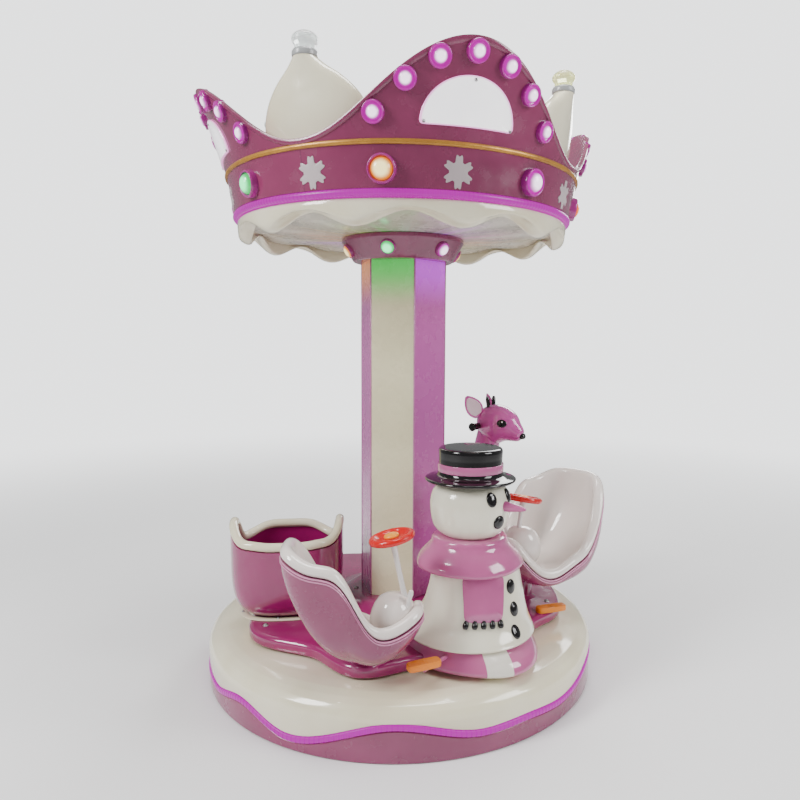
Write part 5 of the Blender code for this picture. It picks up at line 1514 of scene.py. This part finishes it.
deer_part("deer_torso", bridged(TORSO_PATH, TORSO_RADII, 0.98), magenta_gelcoat, "magenta", "deer_body")
legs = []
hooves = []
for hip, hoof in np.array(LEGS):
    down = unit(hoof - hip)
    legs.append(rod(hip, hoof, LEG_RADII, 24))
    hooves.append(rod(hoof - down * 0.003, hoof + down * 0.017, HOOF_RADII, 24))
deer_part("deer_legs", legs, magenta_gelcoat, "magenta")
deer_part("deer_hooves", hooves, hat_black, "black")
deer_part("deer_neck", bridged(NECK_PATH, NECK_RADII, 0.92), deer_pink, "pink", "deer_head")
deer_part("deer_skull", bridged(SKULL_PATH, SKULL_RADII, 0.82), deer_pink, "pink")


def ear(way, grow, thick, ahead):
    """Leaf-shaped ear: width follows the sine of the way along it; it leans back and out, faces out and
    forward, and is dished across. Way is -1 for the right ear and 1 for the left."""
    t = np.linspace(0.0, 1.0, 14)[:, None]
    a = turns(28)[None, :]
    along = unit(np.array((-0.38, 0.42 * way, 0.82)))
    facing = np.array((0.62, 0.70 * way, 0.10))
    facing = unit(facing - along * (facing @ along))
    across = np.cross(along, facing)
    leaf = 0.038 * np.sin(np.pi * (0.10 + 0.87 * t)) ** 0.7 * (1 - 0.20 * t)
    wide = leaf * grow * np.cos(a)
    deep = thick * np.sin(a) * np.sin(np.pi * (0.08 + 0.88 * t)) ** 0.5 + ahead + 7.0 * wide * wide
    far = 0.096 * (0.5 + (t - 0.5) * grow)
    root = np.array((0.146, 0.040 * way, 0.806))
    return root + far[..., None] * along + wide[..., None] * across + deep[..., None] * facing


def outward(grid):
    """A grid whose columns turn the other way is turned round, by the sign of the enclosed volume."""
    following = np.roll(grid, -1, axis=1)
    side_way = np.cross(following[:-1] - grid[:-1], grid[1:] - grid[:-1])
    volume = np.einsum("ijk,ijk->", side_way, grid[:-1] - grid.mean(axis=(0, 1)))
    return grid if volume > 0 else grid[:, ::-1]


deer_part("deer_ears", [outward(ear(way, 1.0, 0.0060, 0.0)) for way in (1, -1)], deer_pink, "pink")
deer_part("deer_ear_insides", [outward(ear(way, 0.80, 0.0035, 0.0040)) for way in (1, -1)], ear_pale, "pink")
deer_part("deer_antlers", [rod((0.178, 0.018 * way, 0.828), (0.173, 0.026 * way, 0.884), ANTLER_RADII)
                           for way in (1, -1)], hat_black, "black")
deer_part("deer_nose", bridged(NOSE_PATH, DEER_NOSE_RADII, 1.15, columns=24), hat_black, "black")
deer_eyes = placed([(0.255, -0.0510, 0.786), (0.255, 0.0510, 0.786)], *DEER_WHERE)
deer_looks = placed([(0.45, -0.85, 0.32), (0.45, 0.85, 0.32)], 0, 0, 0, DEER_WHERE[3])
fitted(studs("deer_eyes", deer_eyes, deer_looks, 0.0200, 0.0165, 0.0065), hat_black, "black")
# Eye glints: small white studs on the eyes, painted highlights.
fitted(studs("deer_eye_glints", deer_eyes + deer_looks * 0.0050 + np.array((0, 0, 0.004)), deer_looks,
             0.0030, 0.0034, 0.0014), glint_white, "snow_white")
grip_steps = np.linspace(0, 1, 41)
grip_rings = 0.5 + 0.5 * np.cos(grip_steps * 2 * np.pi * 20)
grip_radii = 0.0118 + 0.0018 * (np.abs(grip_steps - 0.5) > 0.28) * grip_rings
grip_radii[[0, -1]] = 0.0115
grip_radii[[1, -2]] = 0.0168
deer_part("deer_handle_bar", rod((0.150, -0.105, 0.768), (0.150, 0.105, 0.768), grip_radii, 20), hat_black,
          "black", "deer_handle")


# Footrests: orange rubber pads with cross ribs, the front one on the snowman's foot arm, the right one
# on the star plate.
FOOTRESTS = {"front": ((0.173, -0.575, 0.240), (0.248, -0.516, 0.240)),
             "right": ((0.478, -0.062, 0.2243), (0.566, -0.008, 0.2243))}
PAD_HALF = 0.017
PAD_EDGE = ((0.93, -0.0090), (1.0, -0.0065), (1.0, 0.0050), (0.97, 0.0078), (0.90, 0.0088))
PAD_RIB_PITCH = 0.010
pad_orange = gelcoat("pad_orange", (0.86, 0.25, 0.0, 1), (0.72, 0.17, 0.0, 1), low=0.3, high=0.5, coat=0.05,
                     bump=0.12, scuff_level=0.15, dust=0.03)
pad_x, pad_y = squared(turns(64), 5.0)
for side, (start, end) in FOOTRESTS.items():
    start, end = np.array(start), np.array(end)
    half = np.linalg.norm(end - start) / 2
    turn = np.degrees(np.arctan2(end[1] - start[1], end[0] - start[0]))
    rows = [stacked((half - PAD_HALF * (1 - share)) * pad_x, PAD_HALF * share * pad_y, height)
            for share, height in PAD_EDGE]
    for share in (0.75, 0.55, 0.35, 0.12):
        ridge = 0.0076 + 0.0014 * (np.cos(pad_x * half * share * 2 * np.pi / PAD_RIB_PITCH) > 0)
        rows.append(stacked(half * share * pad_x, PAD_HALF * share * pad_y, ridge))
    fitted(lofted("footrest_pad_" + side, placed(rows, *(start + end) / 2, turn)), pad_orange, "orange",
           "footrest_" + side)
